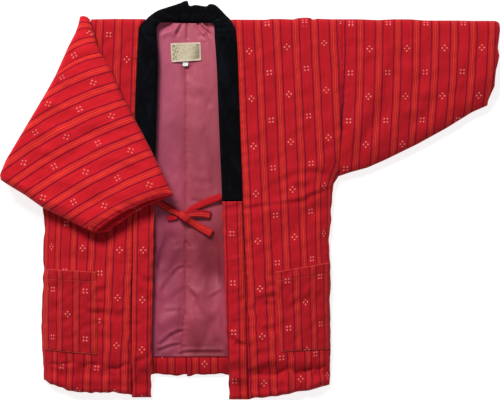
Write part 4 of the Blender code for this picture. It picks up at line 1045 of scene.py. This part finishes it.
stations = smooth(VELVET, VELVET_GRID[0])
across = gathered(VELVET_GRID[1])[None, :]
inner_x, inner_y, outer_x, outer_y, low, thickness = (column[:, None] for column in stations.T)
x, y = mix(inner_x, outer_x, across), mix(inner_y, outer_y, across)
width = np.hypot(outer_x - inner_x, outer_y - inner_y)
length = np.cumsum(np.hypot(np.gradient(x.mean(1)), np.gradient(y.mean(1))))[:, None]
soft = 0.8 * waves(x, y, 71, 38.0) + 0.3 * waves(x, y, 72, 15.0) + creases(VELVET_CREASES, x, y)
soft = soft + 1.1 * ease((y + 60.0) / 40.0) * waves(length, 6.0 * across, 73, 17.0, 8)
to_edge = np.minimum(across, 1.0 - across) * width
high = low + thickness + soft * rim(to_edge, 16.0)
outer, inner = round_edge(stack(x, y, high), stack(x, y, low), to_edge, BAND_ROUND)
outer, inner = round_edge(outer, inner, np.minimum(length - length[0], length[-1] - length), 4.0, 0.7)
collar = cloth_sheet("collar_velvet", outer, inner, stack(across * width, length),
                     black_velvet(), "black_velvet")

for name, half in HALVES:
    sign, seed = half["sign"], half["seed"]
    y = np.linspace(BAND_TOP, BAND_HEM[sign], BAND_GRID[0])[:, None]
    across = gathered(BAND_GRID[1])[None, :]
    seam, free = read(half["collar_seam"], y) - SEAM_GAP, read(half["collar_inner"], y)
    free = free + 0.7 * waves(0.0, y, seed + 20, 30.0, 7)
    x = mix(free, seam, across)
    y = y + 0.0 * x
    low = front_base(seam_distance(x, y), x, y)
    soft = 0.8 * waves(x, y, seed + 21, 36.0) + 0.35 * waves(0.5 * x, y, seed + 22, 16.0)
    soft += creases(BAND_CREASES[sign], x, y) + tucks(BAND_TUCKS[sign], x, y)
    soft += folds(BAND_PRESSED[sign], x, y)
    to_edge = np.minimum(across, 1.0 - across) * (seam - free)
    high = low + FRONT_TOP - FRONT_BASE + soft * rim(to_edge, 16.0)
    outer, inner = round_edge(stack(x, y, high), stack(x, y, low), to_edge, BAND_ROUND)
    outer, inner = round_edge(outer, inner, y - BAND_HEM[sign], HEM_TURN)
    zero, lean, first_row, pitch, lozenge = BAND_CLOTH[sign]
    u = x - zero - lean * (BAND_TOP - y) + MOTIF_U + STRIPE_PITCH * lozenge
    v = (first_row - y) * MOTIF_PITCH / pitch + lozenge * MOTIF_PITCH / 2.0
    cloth_sheet("collar_end_" + name, outer, inner, stack(u, v), cotton, sign=sign)


# The two patch pockets: single cotton squares with a double-folded top hem, their other
# edges turned under and stitched flat to the fronts with a paler thread.

# Corners as x, y: inner top, outer top, inner bottom, outer bottom. Then the stripes' zero,
# their lean, the square row, its rise outwards, and where the side's closing-up begins.
POCKETS = {
    1.0: dict(corners=((188.0, -536.0), (305.2, -516.3), (200.5, -707.0), (304.5, -702.0)),
              stripe_zero=186.1, lean=0.03, row=554.9, rise=0.13, from_x=214.0),
    -1.0: dict(corners=((191.0, -535.8), (297.0, -531.0), (189.5, -713.5), (302.5, -703.5)),
               stripe_zero=187.6, lean=0.0, row=577.0, rise=0.05, from_x=215.0)}
POCKET, POCKET_GAP, POCKET_GRID = 2.2, 0.25, (76, 50)     # thickness, space under it, points
POCKET_HEM, POCKET_DEPTH, POCKET_CUT = 21.0, 176.0, (0.117, 0.178)
STITCH_IN, DASH = 2.2, 1.9


def pocket_stitches(shade):
    """Thread-and-highlight and groove masks from the pocket's own map: distances to side, top and
    bottom.

    One row of thread runs at STITCH_IN from the nearest edge and one at the hem's depth. The
    distance along a row, folded at DASH, cuts it into dashes; the groove covers both rows. The
    thread mask also holds a pale line just below the top fold: a painted highlight."""
    side, down = cloth_places(shade, "edge")
    across, bottom = abs(side), POCKET_DEPTH - down
    near_edge, near_hem = abs(across.least(bottom) - STITCH_IN), abs(down - POCKET_HEM)
    dash_down, dash_across = (abs(way.wrap(DASH)).within(1.25, 0.3) for way in (down, side))
    upright = (across - bottom).within(0.0, 0.5)
    dash = dash_across + (dash_down - dash_across) * upright
    thread = near_edge.within(0.45, 0.3) * dash * (0.6 - upright * 0.35)
    # A pale line just below the top fold: painted highlight
    mouth = abs(down - 0.9).within(0.5, 0.5) * 0.3
    hem_thread = near_hem.within(0.45, 0.3) * dash_across * 0.35
    groove = near_edge.within(1.2, 1.2).most(near_hem.within(1.4, 1.2))
    return thread.most(mouth).most(hem_thread), groove


# The pockets' copy of the cotton is a tenth darker: painted shade
stitched = striped_cotton("stitched_cotton", 0.9, pocket_stitches)
for name, half in HALVES:
    facts = POCKETS[half["sign"]]
    down, across = (np.linspace(0.0, 1.0, count) for count in POCKET_GRID)
    down, across = down[:, None], across[None, :]
    top_in, top_out, low_in, low_out = (np.array(corner) for corner in facts["corners"])
    places = mix(mix(top_in, top_out, across[..., None]), mix(low_in, low_out, across[..., None]),
                 down[..., None])
    x, y = places[..., 0], places[..., 1]
    x = x + (side_edge(half, y) - read(half["side"], y)) * across
    width, below = x[:, -1:] - x[:, :1], down * POCKET_DEPTH
    inner_edge, outer_edge = across * width, (1.0 - across) * width
    to_edge = np.minimum(np.minimum(inner_edge, outer_edge), POCKET_DEPTH - below)
    mouth = 1.3 * rim(to_edge, 30.0) * (1.0 - ease(below / 40.0))
    hem = 0.9 * (1.0 - ease((below - POCKET_HEM + 2.0) / 4.0))
    raise_by = POCKET_GAP + POCKET * (0.15 + 0.85 * rim(to_edge, 7.0)) + mouth + hem
    raise_by = raise_by + 0.45 * waves(x, y, half["seed"] + 30, 24.0) * rim(to_edge, 20.0)
    front = front_height(half, x, y)
    slope_y, slope_x = np.gradient(front)
    normal = stack(-slope_x / np.gradient(x, axis=1), -slope_y / np.gradient(y, axis=0), 1.0)
    normal /= np.linalg.norm(normal, axis=2, keepdims=True)
    base = stack(x, y, front) + normal * POCKET_GAP
    outer = base + normal * raise_by[..., None]
    inside = np.maximum(read(half["side"], y) - x, 0.0)
    u = x - facts["stripe_zero"] + CLOSING * np.exp(-inside / CLOSING_WIDTH) - facts["lean"] * (
        -520.0 - y)
    v = -y - facts["row"] + facts["rise"] * (x - facts["from_x"])
    piece = cloth_sheet("pocket_" + name, outer, base, stack(u, v), stitched, sign=half["sign"])
    edge = stack(np.where(inner_edge < outer_edge, inner_edge, -outer_edge), below).reshape(-1, 2)
    loops = np.zeros(len(piece.data.loops), np.int32)
    piece.data.loops.foreach_get("vertex_index", loops)
    layer = piece.data.uv_layers.new(name="edge")
    layer.data.foreach_set("uv", edge[loops % len(edge)].ravel() / MM_PER_M)


# The ties: narrow tubes of the same cotton, turned and pressed, sewn under the collar's
# inner edges where the velvet ends. They are tied in a half bow over the lining: the left
# tie goes under the right one, round it and over the knot, and its loose end lies on top.

# Each tie's strands: where the stripes start, and x, y, height of the middle, width and
# thickness along it
TIES = {
    "tie_left": [
        (20.6, [(73.9, -376.5, 30.2, 14, 4), (69, -377.5, 29.6, 14, 4.2), (52, -384, 26.5, 14, 4.4),
            (34, -391.5, 24, 13.5, 4.6), (16, -400, 23.4, 12.5, 5), (4, -407, 23, 9, 5),
            (-5, -412.5, 22.8, 8, 4.6), (-12, -417, 22.6, 7, 4.2)]),
        (0.9, [(-17, -410, 26.5, 7, 4), (-15, -412, 31.5, 12.5, 4.8),
            (-10.5, -415.5, 36, 15.5, 5.4), (-5, -420, 36.6, 15, 5.4), (2, -425.5, 33.5, 14, 5.2),
            (9, -430, 27.5, 13.5, 5), (19, -436, 23.6, 14.5, 5), (36, -446, 23.2, 16, 4.8),
            (53.5, -455.5, 23, 17, 4.6)])],
    "tie_right": [
        (-4.0, [(-66.6, -385.5, 29.4, 13.5, 4), (-62, -387.5, 27.5, 14.5, 4.2),
            (-50, -394, 25.5, 16, 4.6), (-36, -402, 25.5, 15.5, 5), (-23, -408.5, 27.5, 12.5, 6),
            (-16, -412.5, 29.2, 13.5, 7), (-10, -415.5, 29.5, 15, 7.5), (-4, -416, 29.4, 13.5, 7),
            (4, -414.5, 28.8, 12, 6.4), (20, -412.5, 28.4, 13.5, 6.8), (38, -413, 26.5, 15.5, 7),
            (50.5, -415.5, 24.5, 15.5, 6.4)])],
    "tie_right_end": [
        (20.6, [(-19.5, -420.5, 22.4, 8, 4.4), (-27, -421.5, 22.4, 10.5, 4.6),
            (-41.5, -422.5, 22.2, 11.5, 4.2)])]}
TIE_GRID, TIE_V, TIE_WALL, TIE_CUT = (10, 32), 12.0, 0.0005, 0.028


def tube(stations, stripe_zero):
    """A flattened tube along a smooth curve, with a squared-off ellipse for its section.

    Returns its points, its cloth map, which repeats the first column last, and its length."""
    path = smooth(stations, TIE_GRID[0])
    x, y, z, width, thickness = (column[:, None] for column in path.T)
    run_x, run_y = np.gradient(x, axis=0), np.gradient(y, axis=0)
    step = np.hypot(run_x, run_y)
    run_x, run_y = run_x / step, run_y / step
    length = np.cumsum(step)[:, None]
    turn = np.linspace(0.0, 2.0 * np.pi, TIE_GRID[1] + 1)[None, :]
    wide = np.sign(np.cos(turn)) * np.abs(np.cos(turn)) ** 0.75
    tall = np.sign(np.sin(turn)) * np.abs(np.sin(turn)) ** 0.9
    ends = rim(np.minimum(length - length[0], length[-1] - length) + 0.6, 3.0)
    half_width, half_height = width / 2.0 * (0.85 + 0.15 * ends), thickness / 2.0 * ends
    uneven = 0.25 * waves(length, 5.0 * wide, 81, 13.0, 8)
    points = stack(x - run_y * wide * half_width, y + run_x * wide * half_width,
                   z + tall * (half_height + uneven * ends))
    round_u = np.cumsum(np.hypot(np.gradient(wide[0]), 0.35 * np.gradient(tall[0]))) * 7.0
    return points[:, :-1], stack(round_u + stripe_zero, length + TIE_V), float(length[-1, 0])


def tie(node, strands):
    """A tie's tubes in one mesh, with a thin wall."""
    points, quads, corners, total = [], [], [], 0.0
    for stripe_zero, stations in strands:
        tube_points, cloth, length = tube(stations, stripe_zero)
        rows, columns = tube_points.shape[:2]
        index = np.arange(rows * columns).reshape(rows, columns) + sum(map(len, points))
        after = np.roll(index, -1, 1)
        quads.append(np.stack([index[:-1], index[1:], after[1:], after[:-1]], -1).reshape(-1, 4))
        points.append(tube_points.reshape(-1, 3))
        left, right = cloth[:, :-1], cloth[:, 1:]
        corners.append(np.stack([left[:-1], left[1:], right[1:], right[:-1]], -2).ravel())
        total += length
    piece = new_piece(node, *map(np.concatenate, (points, quads, corners)), cotton,
                      "striped_cotton")
    wall = piece.modifiers.new("wall", "SOLIDIFY")
    wall.thickness, wall.offset = TIE_WALL, -1.0


for node, strands in TIES.items():
    tie(node, strands)


# The label and the size tag: a woven cream label with a plain mottled ground and a raised
# border, stitched to the lining under the neck, and a scrap of white tape below it. Both
# are left without lettering.

LABEL = [(-34.5, -48.4), (29.6, -46.4), (31.3, -85.2), (-32.2, -89.5)]
SIZE_TAG = [(-8.6, -88.6), (3.2, -87.7), (3, -97), (-8.3, -97.5)]
LABEL_CURL, PATCH, PATCH_GRID, TUCK = 4.5, 0.7, 40, 2.0
PATCH_LOW = BACK_TOP + SEAM_GAP + LINING + 0.6
CREAM, BORDER = (0.60, 0.52, 0.37, 1.0), (0.68, 0.54, 0.42, 1.0)
MOSS, BARK, WHITE = (0.15, 0.15, 0.06, 1.0), (0.17, 0.055, 0.03, 1.0), (0.98, 0.98, 0.98, 1.0)


def patch_finish(name, is_label):
    """The label's mottled weave with its raised border, or else plain white tape.

    The threads are two sines multiplied. Moss shows where the clouds are above a level, more
    towards both ends, and brown where they are below one, at one corner."""
    finish, surface, shade = new_finish(name, Roughness=0.75, Specular_IOR_Level=0.3,
                                        Base_Color=WHITE)
    u, v = cloth_places(shade)
    height = u.wave(0.5) * v.wave(0.5)
    if is_label:
        clouds = shade.noise(u * 0.26, v * 0.26, 5.0, Roughness=0.65)
        field = 1.0 - (32.0 - abs(u)).least(19.5 - abs(v)).within(2.8, 0.5)
        to_corner = ((abs(u) - 12.0) / 14.0).held()
        moss = (1.0 - clouds.within(0.50, 0.04)) * field * (0.3 + to_corner * 0.65)
        brown = clouds.within(0.44, 0.04) * ((u - v * 0.6 - 10.0) / 14.0).held() * field
        brown.tint(moss.tint(field.tint(BORDER, CREAM), MOSS), BARK).feed(surface, "Base Color")
        height = height + (1.0 - field) * 1.5
    height.emboss(surface, 0.5, 0.0002)
    return finish


for node, corners, is_label, slot in (("label", LABEL, True, "cream_label"),
                                      ("size_tag", SIZE_TAG, False, "white_tag")):
    a, b, c, d = (np.array(corner) for corner in corners)
    down = np.linspace(0.0, 1.0, PATCH_GRID)[:, None]
    across = np.linspace(0.0, 1.0, PATCH_GRID)[None, :]
    places = mix(mix(a, b, across[..., None]), mix(d, c, across[..., None]), down[..., None])
    x, y = places[..., 0], places[..., 1]
    width, height = float(np.hypot(*(b - a))), float(np.hypot(*(d - a)))
    u, v = (across - 0.5) * width, (0.5 - down) * height
    lift = 0.35 * waves(x, y, 91, 20.0, 8) + LABEL_CURL * is_label * down ** 2 * (
        1.0 - (u / 36.0) ** 2)
    low = PATCH_LOW + np.maximum(lift, -0.2) + (not is_label) * 1.5 * (1.0 - down)
    piece = cloth_sheet(node, stack(x, y, low + PATCH), stack(x, y, low), stack(u, v),
                        patch_finish(slot, is_label), slot)
    width / MM_PER_M


# The setting: a plain pale floor, a broad soft key light from beyond the collar's right
# side, softer light all round, and a camera that looks straight down, as in the photograph.

# In metres, but for the camera's sensor, which is in mm
FLOOR_SIZE, FLOOR_TOP = 12.0, -0.0005
FRAME_WIDTH, CAMERA_HEIGHT, GARMENT_HEIGHT, SENSOR = 1.065, 5.0, 0.035, 36.0
CAMERA_PLACE, CLIP_END = (0.0013, -0.0012), 50.0
ROOM_COLOUR, ROOM_STRENGTH = (0.97, 0.98, 1.0, 1.0), 0.16
# Place, size across, power and colour of each light
LIGHTS = [((-1.6, 3.35, 4.0), 1.9, 312.0, (1.0, 0.985, 0.97)),
          ((1.2, -0.8, 3.6), 3.2, 18.0, (0.94, 0.97, 1.0))]


def pale_floor():
    """Smooth white paper with the faintest unevenness."""
    finish, surface, shade = new_finish("pale_floor", Roughness=0.9, Specular_IOR_Level=0.1,
                                        Emission_Strength=0.8)
    place = shade.node("ShaderNodeTexCoord", output=3)
    cloud = shade.node("ShaderNodeTexNoise", inputs={"Vector": place, "Scale": 3.0, "Detail": 2.0})
    cloud.tint((0.38, 0.38, 0.38, 1.0), (0.40, 0.40, 0.40, 1.0)).feed(surface, "Base Color")
    return finish


mesh = bpy.data.meshes.new("floor")
mesh.from_pydata([(x * FLOOR_SIZE / 2.0, y * FLOOR_SIZE / 2.0, FLOOR_TOP)
                  for x, y in ((-1, -1), (1, -1), (1, 1), (-1, 1))], [], [(0, 1, 2, 3)])
mesh.materials.append(pale_floor())
floor = bpy.data.objects.new("floor", mesh)
bpy.context.scene.collection.objects.link(floor)
floor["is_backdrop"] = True

for number, (place, size, power, colour) in enumerate(LIGHTS):
    lamp = bpy.data.lights.new("light_" + str(number), "AREA")
    lamp.shape, lamp.size, lamp.energy, lamp.color = "DISK", size, power, colour
    light = bpy.data.objects.new(lamp.name, lamp)
    light.location = place
    toward = -np.array(place)
    yaw, tilt = np.arctan2(toward[1], toward[0]), np.arccos(-toward[2] / np.linalg.norm(toward))
    light.rotation_euler = (0.0, -tilt, yaw)
    bpy.context.scene.collection.objects.link(light)

world = bpy.data.worlds.new("soft_room")
world.use_nodes = True
light_all_round = world.node_tree.nodes["Background"].inputs
light_all_round["Color"].default_value = ROOM_COLOUR
light_all_round["Strength"].default_value = ROOM_STRENGTH
bpy.context.scene.world = world
bpy.context.scene.view_settings.view_transform = "Standard"

lens = bpy.data.cameras.new("camera")
lens.sensor_width = SENSOR
lens.lens = SENSOR * (CAMERA_HEIGHT - GARMENT_HEIGHT) / FRAME_WIDTH
lens.clip_end = CLIP_END
camera = bpy.data.objects.new("camera", lens)
camera.location = (*CAMERA_PLACE, CAMERA_HEIGHT)
bpy.context.scene.collection.objects.link(camera)
bpy.context.scene.camera = camera

low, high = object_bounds()
({"cad": [list(map(float, corner)) for corner in cad_box],
           "visual": [list(map(float, low)), list(map(float, high))]})
